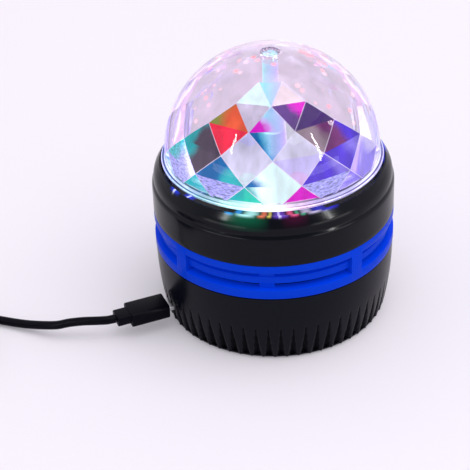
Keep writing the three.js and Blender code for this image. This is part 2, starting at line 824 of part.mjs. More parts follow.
// The outline round a set of circles, as a stretched band would take it
function bandOutline(circles) {
  const points = circles.flatMap(([[x, y], radius]) =>
    Array.from({ length: plateCircleSteps }, (_, i) => {
      const [dx, dy] = polar(radius, (i * 360) / plateCircleSteps);
      return [x + dx, y + dy];
    }));
  points.sort((a, b) => a[0] - b[0] || a[1] - b[1]);
  const turn = (o, a, b) => (a[0] - o[0]) * (b[1] - o[1]) - (a[1] - o[1]) * (b[0] - o[0]);
  const half = (list) => {
    const chain = [];
    for (const p of list) {
      while (chain.length > 1 && turn(chain[chain.length - 2], chain[chain.length - 1], p) <= 0) chain.pop();
      chain.push(p);
    }
    return chain.slice(0, -1);
  };
  const outline = [...half(points), ...half([...points].reverse())];
  return new THREE.Shape(outline.map(([x, y]) => new THREE.Vector2(x, y)));
}

const plateOutline = bandOutline([
  [motorPlace, motorRadius + plateMargin],
  ...postPlaces.map((place) => [place, postRadius + plateMargin]),
]);

function platedHoles(radius, from, to) {
  return postPlaces.map(([x, y]) => rod(radius + fitGap, from, to, boltSteps).translate([x, y, 0]));
}

function pinHoles(from, to) {
  return [firstPlace, secondPlace].map(([x, y]) => rod(pinRadius + fitGap, from, to).translate([x, y, 0]));
}

function gearboxBase() {
  const plate = extruded(plateOutline, plateThickness).translate([0, 0, baseUnder]);
  const posts = postPlaces.map(([x, y]) => rod(postRadius, baseUnder, coverUnder).translate([x, y, 0]));
  const pivotHole = rod(outputPivotRadius + fitGap, baseTop - pinSeat - fitGap, baseTop + cutOverrun);
  const noseHole = rod(motorNoseRadius + fitGap, baseUnder - cutOverrun, baseTop + cutOverrun)
    .translate([...motorPlace, 0]);
  return cutBy(joined([plate, ...posts]), [
    pivotHole,
    noseHole,
    ...pinHoles(baseTop - pinSeat - fitGap, baseTop + cutOverrun),
    ...platedHoles(gearboxScrewRadius, baseUnder - cutOverrun, cutOverrun),
  ]);
}

function gearboxCover() {
  const plate = extruded(plateOutline, plateThickness).translate([0, 0, coverUnder]);
  return cutBy(plate, [
    rod(bushRadius + fitGap, coverUnder - cutOverrun, cutOverrun),
    ...pinHoles(coverUnder - cutOverrun, coverUnder + pinSeat + fitGap),
    ...platedHoles(gearboxScrewRadius, coverUnder - cutOverrun, cutOverrun),
  ]);
}

piece(gearboxGroup, 'gearbox_base', gearboxBase(), platePlastic);
piece(gearboxGroup, 'gearbox_cover', gearboxCover(), platePlastic);
const gearboxScrew = screw(gearboxScrewRadius, trayThickness - fitGap - baseUnder,
  gearboxScrewHeadRadius, gearboxScrewHeadHeight);
postPlaces.forEach((place, i) => {
  piece(gearboxGroup, `gearbox_screw_${i + 1}`, gearboxScrew, darkSteel, ...place, baseUnder);
});

const motorCan = turned([
  [0, motorUnder],
  [motorRadius, motorUnder],
  [motorRadius, baseUnder - motorEdge],
  [motorRadius - motorEdge, baseUnder],
  [motorNoseRadius, baseUnder],
  [motorNoseRadius, baseUnder + motorNoseHeight],
  [0, baseUnder + motorNoseHeight],
], footSteps).subtract(rod(pinRadius + fitGap, baseUnder - shaftInMotor - fitGap, baseTop));
piece(gearboxGroup, 'motor_can', motorCan, steel, ...motorPlace);
const endCapRadius = motorRadius - endCapInset;
piece(gearboxGroup, 'motor_end_cap', rod(endCapRadius, motorUnder - endCapHeight, motorUnder, footSteps),
  blackMoulding, ...motorPlace);
piece(gearboxGroup, 'motor_shaft', rod(pinRadius, baseUnder - shaftInMotor, firstWheelTop),
  steel, ...motorPlace);

// Upper housing: skirt, two soft breaks, rounded shoulder, lip and the tray that carries everything above
const upperGroup = group(lamp, 0, 0, upperZ);
const lipLevel = lipZ - upperZ;
const trayTop = trayTopZ - upperZ;
const trayUnder = trayUnderZ - upperZ;
const breakLevel = skirtHeight + breakHeight;
const breakRadius = bodyRadius - breakInset;

function shoulderPoints() {
  return Array.from({ length: shoulderSteps }, (_, i) => {
    const share = (i + 1) / shoulderSteps;
    const bulge = shoulderBulge * Math.sin(Math.PI * share);
    const radius = breakRadius + (lipRadius - breakRadius) * share + bulge;
    return [radius, breakLevel + lipHeight * share];
  });
}

function upperHousing() {
  const skirtInnerRadius = bodyRadius - skirtWall;
  const profile = [
    [skirtInnerRadius, 0],
    [bodyRadius, 0],
    [bodyRadius, skirtHeight],
    [breakRadius, breakLevel],
    ...shoulderPoints(),
    [lipInnerRadius, lipLevel],
    [lipInnerRadius, trayTop],
    [bushRadius + fitGap, trayTop],
    [bushRadius + fitGap, trayUnder],
    [skirtInnerRadius, trayUnder],
    [skirtInnerRadius, 0],
  ];
  const bossReach = bodyRadius - skirtWall / 2 - housingScrewCircle;
  const boss = joined([
    rod(housingBossRadius, 0, trayUnder + trayThickness / 2),
    block(bossReach, ribThickness, trayUnder, bossReach / 2, 0, trayUnder / 2),
  ]);
  const bossHole = rod(housingScrewRadius + fitGap, -cutOverrun, housingScrewGrip + fitGap, boltSteps);
  const pads = lightBoardScrewAngles.map((angle) =>
    rod(padRadius, trayTop - trayThickness / 2, trayTop + lightBoardRise)
      .translate([...polar(lightBoardScrewCircle, angle), 0]));
  const padHoles = lightBoardScrewAngles.map((angle) =>
    rod(boardScrewRadius + fitGap, trayUnder + fitGap, trayTop + lightBoardRise + cutOverrun, boltSteps)
      .translate([...polar(lightBoardScrewCircle, angle), 0]));
  const gearboxHoles = postPlaces.map(([x, y]) =>
    rod(gearboxScrewRadius + fitGap, trayUnder - cutOverrun, trayTop + cutOverrun, boltSteps)
      .translate([x, y, 0]));
  const wireHole = rod(wireHoleRadius, trayUnder - cutOverrun, trayTop + cutOverrun)
    .translate([wireHoleX, 0, 0]);
  const whole = joined([turned(profile), ...ringOf(boss, housingScrewCircle, barAngle), ...pads]);
  return cutBy(whole, [
    ...ringOf(bossHole, housingScrewCircle, barAngle),
    ...padHoles,
    ...gearboxHoles,
    wireHole,
  ]);
}

piece(upperGroup, 'upper_housing', upperHousing(), blackGloss);

// Light board with its four lights and two screws
const lightGroup = group(lamp, 0, 0, lightBoardZ);
const lightScrewHole = rod(boardScrewRadius + fitGap, -cutOverrun, boardThickness + cutOverrun, boltSteps);
const lightBoard = cutBy(
  tubeRing(lightBoardHoleRadius, lightBoardRadius, 0, boardThickness, roomSteps),
  lightBoardScrewAngles.map((angle) => lightScrewHole.translate([...polar(lightBoardScrewCircle, angle), 0])),
);
piece(lightGroup, 'led_board', lightBoard, boardWhite);
const lightBoardScrew = screw(boardScrewRadius, boardThickness + lightBoardRise + trayThickness / 2,
  boardScrewHeadRadius, boardScrewHeadHeight).rotate([180, 0, 0]);
lightBoardScrewAngles.forEach((angle, i) => {
  piece(lightGroup, `led_board_screw_${i + 1}`, lightBoardScrew, steel,
    ...polar(lightBoardScrewCircle, angle), boardThickness);
});

const lensProfile = lensShares.map(([across, up]) =>
  [across * ledLensRadius, ledBodyHeight + up * ledLensHeight]);
const led = joined([
  block(ledBodySize, ledBodySize, ledBodyHeight, 0, 0, ledBodyHeight / 2),
  turned([[0, ledBodyHeight / 2], [ledLensRadius, ledBodyHeight / 2], ...lensProfile], shaftSteps),
]);
for (const [name, angle] of Object.entries(ledAngles)) {
  const light = piece(lightGroup, name, led, lightFinishes[name], ...polar(ledCircle, angle), boardThickness);
  light.rotation.z = radians(angle);
}

// Clear dome: smooth outside, cut into triangles inside, with its column over the output shaft
const domeGroup = group(lamp, 0, 0, domeZ);
const domeCentre = domeRimHeight + domeCentreRise;
const facetRadius = domeRadius - domeWall;

function domeOutside() {
  const rimRadius = domeRadius + domeRimProud;
  const flareRadius = domeRadius + domeFlare;
  const dimpleAngle = Math.asin(poleDimpleRadius / domeRadius);
  const arc = Array.from({ length: domeSteps + 1 }, (_, i) => {
    const lift = (i / domeSteps) * (Math.PI / 2 - dimpleAngle);
    return [domeRadius * Math.cos(lift), domeCentre + domeRadius * Math.sin(lift)];
  });
  const poleLevel = domeCentre + domeRadius * Math.cos(dimpleAngle) - poleDimpleDepth;
  return turned([
    [0, 0],
    [rimRadius, 0],
    [rimRadius, domeRimHeight],
    [flareRadius, domeRimHeight],
    ...arc,
    [poleDimpleRadius - poleDimpleDepth, poleLevel],
    [0, poleLevel],
  ]);
}

function facetPoint(ring, i) {
  const tilt = radians(firstFacetPolar + ring * facetPolarStep);
  const spin = radians(facetPhase + ((i + (ring % 2 ? 0 : 0.5)) * 360) / facetCount);
  const across = facetRadius * Math.sin(tilt);
  return [across * Math.cos(spin), across * Math.sin(spin), domeCentre + facetRadius * Math.cos(tilt)];
}

function facetedRoom() {
  const positions = [];
  const faces = [];
  for (let ring = 0; ring < facetRings; ring += 1) {
    for (let i = 0; i < facetCount; i += 1) positions.push(...facetPoint(ring, i));
  }
  const top = positions.length / 3;
  positions.push(0, 0, facetPoint(0, 0)[2]);
  positions.push(0, 0, facetPoint(facetRings - 1, 0)[2]);
  for (let i = 0; i < facetCount; i += 1) {
    const next = (i + 1) % facetCount;
    for (let ring = 0; ring + 1 < facetRings; ring += 1) {
      const [high, low] = [ring * facetCount, (ring + 1) * facetCount];
      if (ring % 2) {
        faces.push(high + i, low + i, high + next, low + i, low + next, high + next);
      } else {
        faces.push(high + i, low + i, low + next, high + i, low + next, high + next);
      }
    }
    const last = (facetRings - 1) * facetCount;
    faces.push(top, i, next, top + 1, last + next, last + i);
  }
  const geometry = new THREE.BufferGeometry();
  geometry.setAttribute('position', new THREE.Float32BufferAttribute(positions, 3));
  geometry.setIndex(faces);
  return solidOf(geometry);
}

function domeCap() {
  const tilt = radians(firstFacetPolar);
  const capArc = Array.from({ length: cornerSteps + 1 }, (_, i) => {
    const lean = tilt * (1 - i / cornerSteps);
    return [facetRadius * Math.sin(lean), domeCentre + facetRadius * Math.cos(lean)];
  });
  const brim = capArc[0];
  return turned([[0, brim[1] - cutOverrun], [brim[0] - domeWall, brim[1] - cutOverrun], ...capArc], bodySteps);
}

function clearDome() {
  const keptRoom = block(2 * bodyRadius, 2 * bodyRadius, 2 * bodyRadius, 0, 0, domeSkirtHeight + bodyRadius);
  const skirtRoom = rod(domeSkirtRadius, -cutOverrun, domeSkirtHeight + domeSkirtWall / 4,
    bodySteps);
  const room = joined([facetedRoom().intersect(keptRoom), domeCap(), skirtRoom]);
  const shell = domeOutside().subtract(room);
  const columnFoot = lightBoardTopZ + columnFloorGap - domeZ;
  const boreTop = columnFoot + columnGrip + fitGap;
  const ceiling = domeCentre + facetRadius + domeWall / 4;
  const column = turned([
    [outputShaftRadius + fitGap, columnFoot],
    [columnBottomRadius, columnFoot],
    [columnTopRadius, ceiling],
    [0, ceiling],
    [0, boreTop],
    [outputShaftRadius + fitGap, boreTop],
    [outputShaftRadius + fitGap, columnFoot],
  ], shaftSteps);
  const web = new THREE.Shape([
    new THREE.Vector2(0, ceiling),
    new THREE.Vector2(0, ceiling - gussetHeight),
    new THREE.Vector2(columnTopRadius + gussetReach, ceiling - domeWall),
    new THREE.Vector2(columnTopRadius + gussetReach, ceiling - domeWall / 2),
  ]);
  const gusset = extruded(web, gussetThickness).translate([0, 0, -gussetThickness / 2]).rotate([90, 0, 0]);
  return joined([shell, column, ...ringOf(gusset, 0, facetPhase)]);
}

piece(domeGroup, 'clear_dome', clearDome(), clearPlastic);

// Tubes: a section swept along a curve, and a run of rings for what winds
function tubeAlong(curve, radius, sides, steps) {
  const section = new THREE.Shape();
  for (let i = 0; i < sides; i += 1) {
    const [x, y] = polar(radius, ((i + 0.5) * 360) / sides);
    if (i) section.lineTo(x, y);
    else section.moveTo(x, y);
  }
  section.closePath();
  const options = { extrudePath: curve, steps, bevelEnabled: false };
  return solidOf(new THREE.ExtrudeGeometry(section, options));
}

function ringTube(path, radius, sides) {
  const positions = [];
  const faces = [];
  const up = new THREE.Vector3(0, 0, 1);
  path.forEach((point, i) => {
    const before = path[Math.max(0, i - 1)];
    const after = path[Math.min(path.length - 1, i + 1)];
    const along = after.clone().sub(before).normalize();
    const across = along.clone().cross(up).normalize();
    const upright = across.clone().cross(along);
    for (let side = 0; side < sides; side += 1) {
      const [x, y] = polar(radius, (side * 360) / sides);
      const corner = point.clone().addScaledVector(across, x).addScaledVector(upright, y);
      positions.push(corner.x, corner.y, corner.z);
    }
  });
  const last = (path.length - 1) * sides;
  for (let side = 0; side < sides; side += 1) {
    const next = (side + 1) % sides;
    for (let row = 0; row < last; row += sides) {
      faces.push(row + side, row + next, row + sides + next, row + side, row + sides + next, row + sides + side);
    }
    if (side > 1) faces.push(0, side, side - 1, last, last + side - 1, last + side);
  }
  const geometry = new THREE.BufferGeometry();
  geometry.setAttribute('position', new THREE.Float32BufferAttribute(positions, 3));
  geometry.setIndex(faces);
  return solidOf(geometry);
}

// Inner wires, in pairs: the motor's and the light board's, both down to the power board
const wireEndZ = baseZ + powerBoardTop + fitGap;
const motorTerminalZ = trayUnderZ + motorUnder - endCapHeight - fitGap;
const wireNames = [['red', wireRed, 1], ['black', wireBlack, -1]];
for (const [colour, material, side] of wireNames) {
  const offset = (side * wirePitch) / 2;
  const [motorX, motorY] = motorPlace;
  const startX = motorX - motorTerminalReach;
  const startY = motorY + offset;
  const drop = motorTerminalZ - wireEndZ;
  const motorWire = new THREE.CatmullRomCurve3([
    new THREE.Vector3(startX, startY, motorTerminalZ),
    new THREE.Vector3(startX, startY, motorTerminalZ - drop / 4),
    new THREE.Vector3((startX + motorWireX) / 2, (startY + offset) / 2, wireEndZ + drop * motorWireSagShare),
    new THREE.Vector3(motorWireX, offset, wireEndZ + drop / 4),
    new THREE.Vector3(motorWireX, offset, wireEndZ),
  ]);
  piece(lamp, `motor_wire_${colour}`, tubeAlong(motorWire, wireRadius, wireSides, wireSteps), material);
  const lightStartZ = lightBoardZ - fitGap;
  const fall = lightStartZ - wireEndZ;
  const lightWire = new THREE.CatmullRomCurve3([
    new THREE.Vector3(wireHoleX, offset, lightStartZ),
    new THREE.Vector3(wireHoleX, offset, lightStartZ - fall / 8),
    new THREE.Vector3(wireHoleX - lightWireBow, offset, lightStartZ - fall / 2),
    new THREE.Vector3(wireHoleX, offset, wireEndZ + fall / 8),
    new THREE.Vector3(wireHoleX, offset, wireEndZ),
  ]);
  piece(lamp, `led_wire_${colour}`, tubeAlong(lightWire, wireRadius, wireSides, wireSteps), material);
}

// Plug in the socket, with its moulded grip and neck
const cableGroup = group(lamp, 0, 0, portZ);
const plugShell = block(plugShellLength - fitGap, plugShellWidth, plugShellHeight,
  plugTipX - (plugShellLength - fitGap) / 2, 0, 0)
  .subtract(block(2 * plugHollowDepth, plugShellWidth - 2 * plugShellWall, plugShellHeight - 2 * plugShellWall,
    plugTipX, 0, 0));
piece(cableGroup, 'plug_shell', plugShell, steel);
const neckX = gripX - gripLength;
const neckEndX = neckX - neckLength;
const plugGrip = joined([
  roundedBar(gripWidth, gripHeight, gripCorner, gripX, gripLength),
  roundedBar(neckWidth, neckHeight, neckCorner, neckX + gripCorner, neckLength + gripCorner),
]);
piece(cableGroup, 'plug_grip', plugGrip, blackMoulding);

// The cord from the neck to the coil
const lowerLayerZ = cordRadius + coilLift;
const upperLayerZ = lowerLayerZ + coilPitch;
const cordStartX = neckEndX - fitGap;
const cordPoints = cordRoute.map(([x, y, rise]) =>
  new THREE.Vector3(cordStartX + x, y, lowerLayerZ + rise * (portZ - lowerLayerZ)));
const cordCurve = new THREE.CatmullRomCurve3(cordPoints);
piece(lamp, 'cord', tubeAlong(cordCurve, cordRadius, cordSides, cordSteps), blackMoulding);

// The coil: in along the lower layer, up where the spiral turns back, out along the upper layer
const cordDiameter = 2 * cordRadius;
const heading = new THREE.Vector3(...polar(1, coilHeading), 0);
const cordEnd = cordPoints[cordPoints.length - 1];
const coilStart = cordEnd.clone().addScaledVector(heading, fitGap);
coilStart.z = lowerLayerZ;
const coilEntry = coilStart.clone().addScaledVector(heading, cordDiameter);
const [toCentreX, toCentreY] = polar(coilOuterRadius, coilHeading + quarterTurn);
const coilCentre = new THREE.Vector3(coilEntry.x + toCentreX, coilEntry.y + toCentreY, 0);
const farGripZ = farFloorGap + farGripHeight / 2;

function coilPath() {
  const path = [coilStart, coilEntry];
  const steps = Math.round(coilTurns * coilStepsPerTurn);
  const turnAt = (step) => (step / steps) * coilTurns;
  for (let step = 1; step <= steps; step += 1) {
    const turn = turnAt(step);
    const fromMiddle = turn - coilTurns / 2;
    const radius = coilOuterRadius - coilPitch * (coilTurns / 2 - Math.abs(fromMiddle));
    const height = lowerLayerZ + coilPitch * smooth(2 * fromMiddle + 0.5);
    const [x, y] = polar(radius, coilHeading - quarterTurn + turn * 360);
    path.push(new THREE.Vector3(coilCentre.x + x, coilCentre.y + y, height));
  }
  const last = path[path.length - 1];
  const out = new THREE.Vector3(...polar(1, coilHeading + coilTurns * 360), 0);
  const [fallStart, fallEnd] = leadOutFallShares;
  for (let step = 1; step <= leadOutSteps; step += 1) {
    const share = step / leadOutSteps;
    const point = last.clone().addScaledVector(out, share * leadOutLength);
    const fallen = smooth((share - fallStart) / (fallEnd - fallStart));
    point.z = upperLayerZ + (farGripZ - upperLayerZ) * fallen;
    path.push(point);
  }
  path.push(path[path.length - 1].clone().addScaledVector(out, cordDiameter));
  return { path, out };
}

function leastSelfGap(path) {
  const apart = Math.round(coilStepsPerTurn / 2);
  let least = Infinity;
  path.forEach((point, i) => {
    for (let j = i + apart; j < path.length; j += 1) least = Math.min(least, point.distanceTo(path[j]));
  });
  return least - cordDiameter;
}

const { path: coil, out: leadOut } = coilPath();
console.log(`coil: least gap to itself ${leastSelfGap(coil).toFixed(2)} mm`);
const coilCurveLength = coil.slice(1).reduce((sum, point, i) => sum + point.distanceTo(coil[i]), 0);
console.log(`cord ${cordCurve.getLength().toFixed(0)} mm, coil ${coilCurveLength.toFixed(0)} mm`);
piece(lamp, 'cord_coil', ringTube(coil, cordRadius, coilSides), blackMoulding);

// The tie round the coil's turns
function coilTie() {
  const inner = coilOuterRadius - (coilPitch * coilTurns) / 2 - cordRadius - tieInnerGap;
  const outer = coilOuterRadius + cordRadius + fitGap;
  const [low, high] = [coilLift - fitGap / 2, upperLayerZ + cordRadius + fitGap];
  const [midR, midZ] = [(inner + outer) / 2, (low + high) / 2];
  const [across, tall] = [outer - inner, high - low];
  const band = block(across + 2 * tieThickness, tieWidth, tall + 2 * tieThickness, midR, 0, midZ);
  return band.subtract(block(across, 2 * tieWidth, tall, midR, 0, midZ)).rotate([0, 0, tieAngle]);
}

piece(lamp, 'cable_tie', coilTie(), wireBlack, coilCentre.x, coilCentre.y);

// The far plug, in line with the coil's outer end. Its own frame has the plug running along -X.
const coilEnd = coil[coil.length - 1];
const farGroup = group(lamp, coilEnd.x, coilEnd.y, farGripZ);
farGroup.rotation.z = Math.atan2(leadOut.y, leadOut.x) + Math.PI;
const farGripX = -fitGap - farNeckLength;
const farShellX = farGripX - farGripLength;
const farGrip = joined([
  rod(farNeckRadius, 0, farNeckLength + farGripCorner, wireSides)
    .rotate([0, -90, 0]).translate([-fitGap, 0, 0]),
  roundedBar(farGripWidth, farGripHeight, farGripCorner, farGripX, farGripLength),
]);
piece(farGroup, 'usb_a_grip', farGrip, blackMoulding);
const farShell = block(farShellLength - fitGap, farShellWidth, farShellHeight,
  farShellX - fitGap - (farShellLength - fitGap) / 2, 0, 0)
  .subtract(block(2 * farHollowDepth, farShellWidth - 2 * farShellWall, farShellHeight - 2 * farShellWall,
    farShellX - farShellLength, 0, 0));
piece(farGroup, 'usb_a_shell', farShell, steel);
const farHollowHeight = farShellHeight - 2 * farShellWall;
const farTongueLength = farHollowDepth - fitGap;
piece(farGroup, 'usb_a_tongue', block(farTongueLength - fitGap, farShellWidth - 4 * farShellWall,
  farTongueHeight - fitGap, farShellX - farShellLength + farHollowDepth - farTongueLength / 2, 0,
  (farHollowHeight - farTongueHeight) / 2 - fitGap / 2), boardWhite);

export default lamp;
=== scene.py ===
# Looks of a rotating star projector lamp: clear faceted dome over coloured lights, black housings, blue vent
# ring, and a plug-in lead with its spare length coiled. Lengths are in metres, angles in degrees.
import json
import math

import bpy
import bmesh
from mathutils import Matrix, Vector


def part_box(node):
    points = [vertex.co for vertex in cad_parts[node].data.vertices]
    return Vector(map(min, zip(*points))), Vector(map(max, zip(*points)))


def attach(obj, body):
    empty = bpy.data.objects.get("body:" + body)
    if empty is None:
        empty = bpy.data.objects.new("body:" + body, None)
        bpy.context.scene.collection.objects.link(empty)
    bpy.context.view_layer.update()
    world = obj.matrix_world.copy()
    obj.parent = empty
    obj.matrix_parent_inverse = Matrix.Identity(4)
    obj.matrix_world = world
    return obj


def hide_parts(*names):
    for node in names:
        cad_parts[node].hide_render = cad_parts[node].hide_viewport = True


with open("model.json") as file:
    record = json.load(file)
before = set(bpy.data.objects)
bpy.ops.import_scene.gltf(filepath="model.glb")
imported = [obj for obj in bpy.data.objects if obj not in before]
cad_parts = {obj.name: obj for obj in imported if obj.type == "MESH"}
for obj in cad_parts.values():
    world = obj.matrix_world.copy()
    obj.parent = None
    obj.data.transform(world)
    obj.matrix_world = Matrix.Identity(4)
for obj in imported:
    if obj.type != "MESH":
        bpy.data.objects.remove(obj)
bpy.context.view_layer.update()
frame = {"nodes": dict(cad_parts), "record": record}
MM = 0.001

# Camera, fitted to the photograph
VIEW_AZIMUTH = -23.0
VIEW_SIDE = VIEW_AZIMUTH + 270
VIEW_ELEVATION = 33.31
VIEW_DISTANCE = 654.5 * MM
VIEW_TARGET = Vector((0, 0, 26.43 * MM))
VIEW_ROLL = -1.4
VIEW_PAN = 1.405
VIEW_TILT = 0.18
LENS = 123.07
SENSOR = 36

# Levels and radii of the shells, read from the frame
LOWER_LOW, LOWER_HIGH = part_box("lower_housing")
VENT_LOW, VENT_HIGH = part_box("vent_ring")
UPPER_LOW, UPPER_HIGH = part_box("upper_housing")
DOME_LOW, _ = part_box("clear_dome")
BODY_RADIUS = VENT_HIGH.x
SHELL_STEPS = 256
OVER = 1 * MM

# Lower housing
LOWER_HEIGHT = LOWER_HIGH.z - LOWER_LOW.z
LOWER_TOP_INSET = 0.2 * MM
LOWER_BOTTOM_INSET = 3.1 * MM
LOWER_CURVE_POWER = 2.2
SHELL_WALL = 2.2 * MM
FLUTE_COUNT = 60
FLUTE_STEPS = 14
FLUTE_HEIGHT = 17 * MM
FLUTE_DEPTH = 1.55 * MM
FLUTE_ROWS = 44
FOOT_RING_HEIGHT = 0.8 * MM
FOOT_RING_INSET = 0.45 * MM
FOOT_RING_STEP = 0.1 * MM
# Groove faces cut deeper than these get the darker black: painted shade in the grooves
GROOVE_SHADE_START = 0.12 * MM
GROOVE_SHADE_SHARE = 0.62
PLAIN_ROWS = 12
EDGE_ROUND = 0.55 * MM
BAR_ANGLE = 18
PILLAR_ANGLE = 63
QUARTERS = 4
PORT_HEIGHT = 8.7 * MM
PORT_SIZE = (8.55 * MM, 3.5 * MM)
PORT_CORNER = 0.5 * MM

# Vent ring
VENT_RECESS = 2.1 * MM
VENT_WALL = 2.4 * MM
SLAT_PROUD = 0.4 * MM
BOTTOM_FLANGE = 3.8 * MM
LOWER_SLOT = 2.3 * MM
SLAT = 2.9 * MM
UPPER_SLOT = 2.6 * MM
BAR_WIDTH = 5.5 * MM
PILLAR_WIDTH = 5.7 * MM
VENT_EDGE = 0.26 * MM
# Bevelled vent edges whose normals rise this much get a paler blue: a painted highlight
VENT_HIGHLIGHT_SLOPE = 0.35
# Painted light: the blue that the slot floors facing up emit, as if the lamps lit them
SLOT_PAINTED_LIGHT = (0, 0.012, 0.22)

# Upper housing
SKIRT_WALL = 2 * MM
SKIRT_HEIGHT = 11.4 * MM
BREAK_INSET = 0.68 * MM
BREAK_HEIGHT = 1.8 * MM
LIP_INSET = 3.2 * MM
LIP_THICKNESS = 0.7 * MM
SHOULDER_BULGE = 0.75 * MM
SHOULDER_STEPS = 20
UPPER_EDGE = 0.3 * MM
TRAY_DEPTH = 5.2 * MM
TRAY_THICKNESS = 2 * MM
TRAY_HOLE = 4.3 * MM

# Dome
DOME_RADIUS = 42.3 * MM
DOME_WALL = 1.3 * MM
DOME_RIM_PROUD = 1.4 * MM
DOME_RIM_HEIGHT = 1.2 * MM
RIM_CLEARANCE = 1.2 * MM
DOME_FLARE = 0.3 * MM
DOME_CENTRE_RISE = 1 * MM
DOME_SKIRT_HEIGHT = 1.8 * MM
DOME_SKIRT_WALL = 2 * MM
DOME_STEPS = 192
DOME_ARC_STEPS = 72
CAP_STEPS = 12
FACET_COUNT = 12
FACET_RINGS = 6
FACET_PHASE = 7
FIRST_FACET_POLAR = 24.2
FACET_POLAR_STEP = 14.2
FACET_EDGE = 0.12 * MM
KITE_ANGLE = 360 / FACET_COUNT
FRONT_KITE = 8

# Painted light: colours that the lit facets glow with, as linear red, green, blue and how much of what lies
# behind shows through
HUES = {
    "clear": (0.29, 0.20, 0.32, 0.55),
    "pale": (0.58, 0.55, 0.76, 0.12),
    "lilac": (0.60, 0.53, 0.72, 0.4),
    "ice": (0.58, 0.80, 0.82, 0.3),
    "cream": (0.50, 0.36, 0.42, 0.5),
    "glass": (0.10, 0.11, 0.18, 0.75),
    "purple": (0.10, 0.03, 0.24, 0.03),
    "magenta": (0.74, 0.0, 0.62, 0.02),
    "navy": (0.06, 0.02, 0.16, 0.02),
    "greige": (0.25, 0.17, 0.23, 0.08),
    "maroon": (0.17, 0.03, 0.17, 0.02),
    "royal": (0.08, 0.03, 0.66, 0.03),
    "violet": (0.22, 0.16, 0.76, 0.06),
    "lavender": (0.54, 0.48, 0.88, 0.1),
    "frost": (0.33, 0.32, 0.82, 0.1),
    "olive": (0.24, 0.25, 0.05, 0.03),
    "orange": (0.78, 0.10, 0.04, 0.03),
    "red": (0.92, 0.02, 0.07, 0.02),
    "plum": (0.075, 0.05, 0.09, 0.03),
    "teal": (0.01, 0.40, 0.46, 0.03),
    "ocean": (0.0, 0.14, 0.45, 0.02),
    "green": (0.005, 0.54, 0.42, 0.05),
    # edge is a pale painted highlight along the edges between coloured facets
    "edge": (0.62, 0.54, 0.74, 0.3),
    # A dark grey painted shade over the pole's dip
    "painted_pole_shade": (0.10, 0.095, 0.12, 0.3),
}
BRUSHED = "frost"
# One entry for each ring of kites, from the top ring down. Its six words go round from the front to the right
# and repeat on the other side. A word is the kite's upper facet, then its lower one. Where a facet has two
# hues, they meet in a wavy line: the second, behind >, lies away from the front, and >> or >>> gives it more.
KITES = [
    "glass clear clear clear clear clear",
    "cream/purple>magenta clear clear clear clear ice/lilac",
    "magenta>>glass/ocean>>glass navy/greige>maroon clear clear clear orange>olive/red",
    "pale/lavender maroon>royal/royal>violet clear/lavender clear plum>teal/plum>teal pale/pale",
    "ocean>>>ice/teal>>>ice royal>violet/frost violet>lavender/violet violet/royal frost>teal/frost"
    " teal>>ocean/frost",
    "magenta/violet violet/royal royal/ocean ocean/royal teal/ocean green>teal/teal",
]
# How much more of its facet the second hue takes by the number of >, from none to three, and by each metre up
LEANS = (0, 0, 0.28, 0.42)
HUE_RISE = 35
# How well a face has to match a facet's direction, and how near a facet's middle an edge between facets is
FACET_MATCH = 0.9997
FACET_NEAR = 0.97
# How far past its radius a face is still taken as part of the dome's column or facets, where webs and rim
# start, and how high the normals are of the webs, of the rim's inside and of its rounded edges
SLACK = 1.02
COLUMN_SLACK = 1.05
FACET_SLACK = 1.001
WEB_START = 0.8
RIM_INSIDE = DOME_RADIUS - 2.2 * DOME_WALL
WEB_SLOPE = 0.5
RIM_SLOPE = 0.9
EDGE_SLOPES = (0.2, 0.95)
# Hues of the painted light round the column, round the dome's rim and on the housing's lip where the lights
# leak out, by the angle from the front, to the right positive
COLUMN_STOPS = [
    (-180, (0.20, 0.26, 0.45)),
    (-105, (0.0, 0.90, 0.60)),
    (-58, (0.0, 0.90, 0.74)),
    (-20, (0.10, 0.48, 0.84)),
    (25, (0.34, 0.28, 0.98)),
    (65, (0.56, 0.06, 0.98)),
    (105, (0.85, 0.02, 0.75)),
    (180, (0.20, 0.26, 0.45)),
]
RIM_STOPS = [
    (-180, (0.20, 0.25, 0.70)),
    (-120, (0.10, 0.12, 0.70)),
    (-60, (0.10, 0.25, 0.55)),
    (-34, (0.06, 0.42, 0.50)),
    (-22, (0.35, 0.80, 0.78)),
    (0, (0.70, 0.90, 0.95)),
    (8, (0.80, 0.60, 0.85)),
    (16, (0.60, 0.28, 0.62)),
    (30, (0.26, 0.22, 0.66)),
    (75, (0.30, 0.28, 0.60)),
    (135, (0.55, 0.53, 0.70)),
    (180, (0.20, 0.25, 0.70)),
]
# Painted light on the rim: its edges glow on their own, and its faces mostly where the painted glow at the
# front is
RIM_SEE_THROUGH = 0.5
RIM_EDGE = 0.35 * MM
RIM_EDGE_HUE = (0.7, 0.7, 0.9)
RIM_FACE_SHARE = 0.3
GLOW_MIDDLE = -8
GLOW_HALF = 22
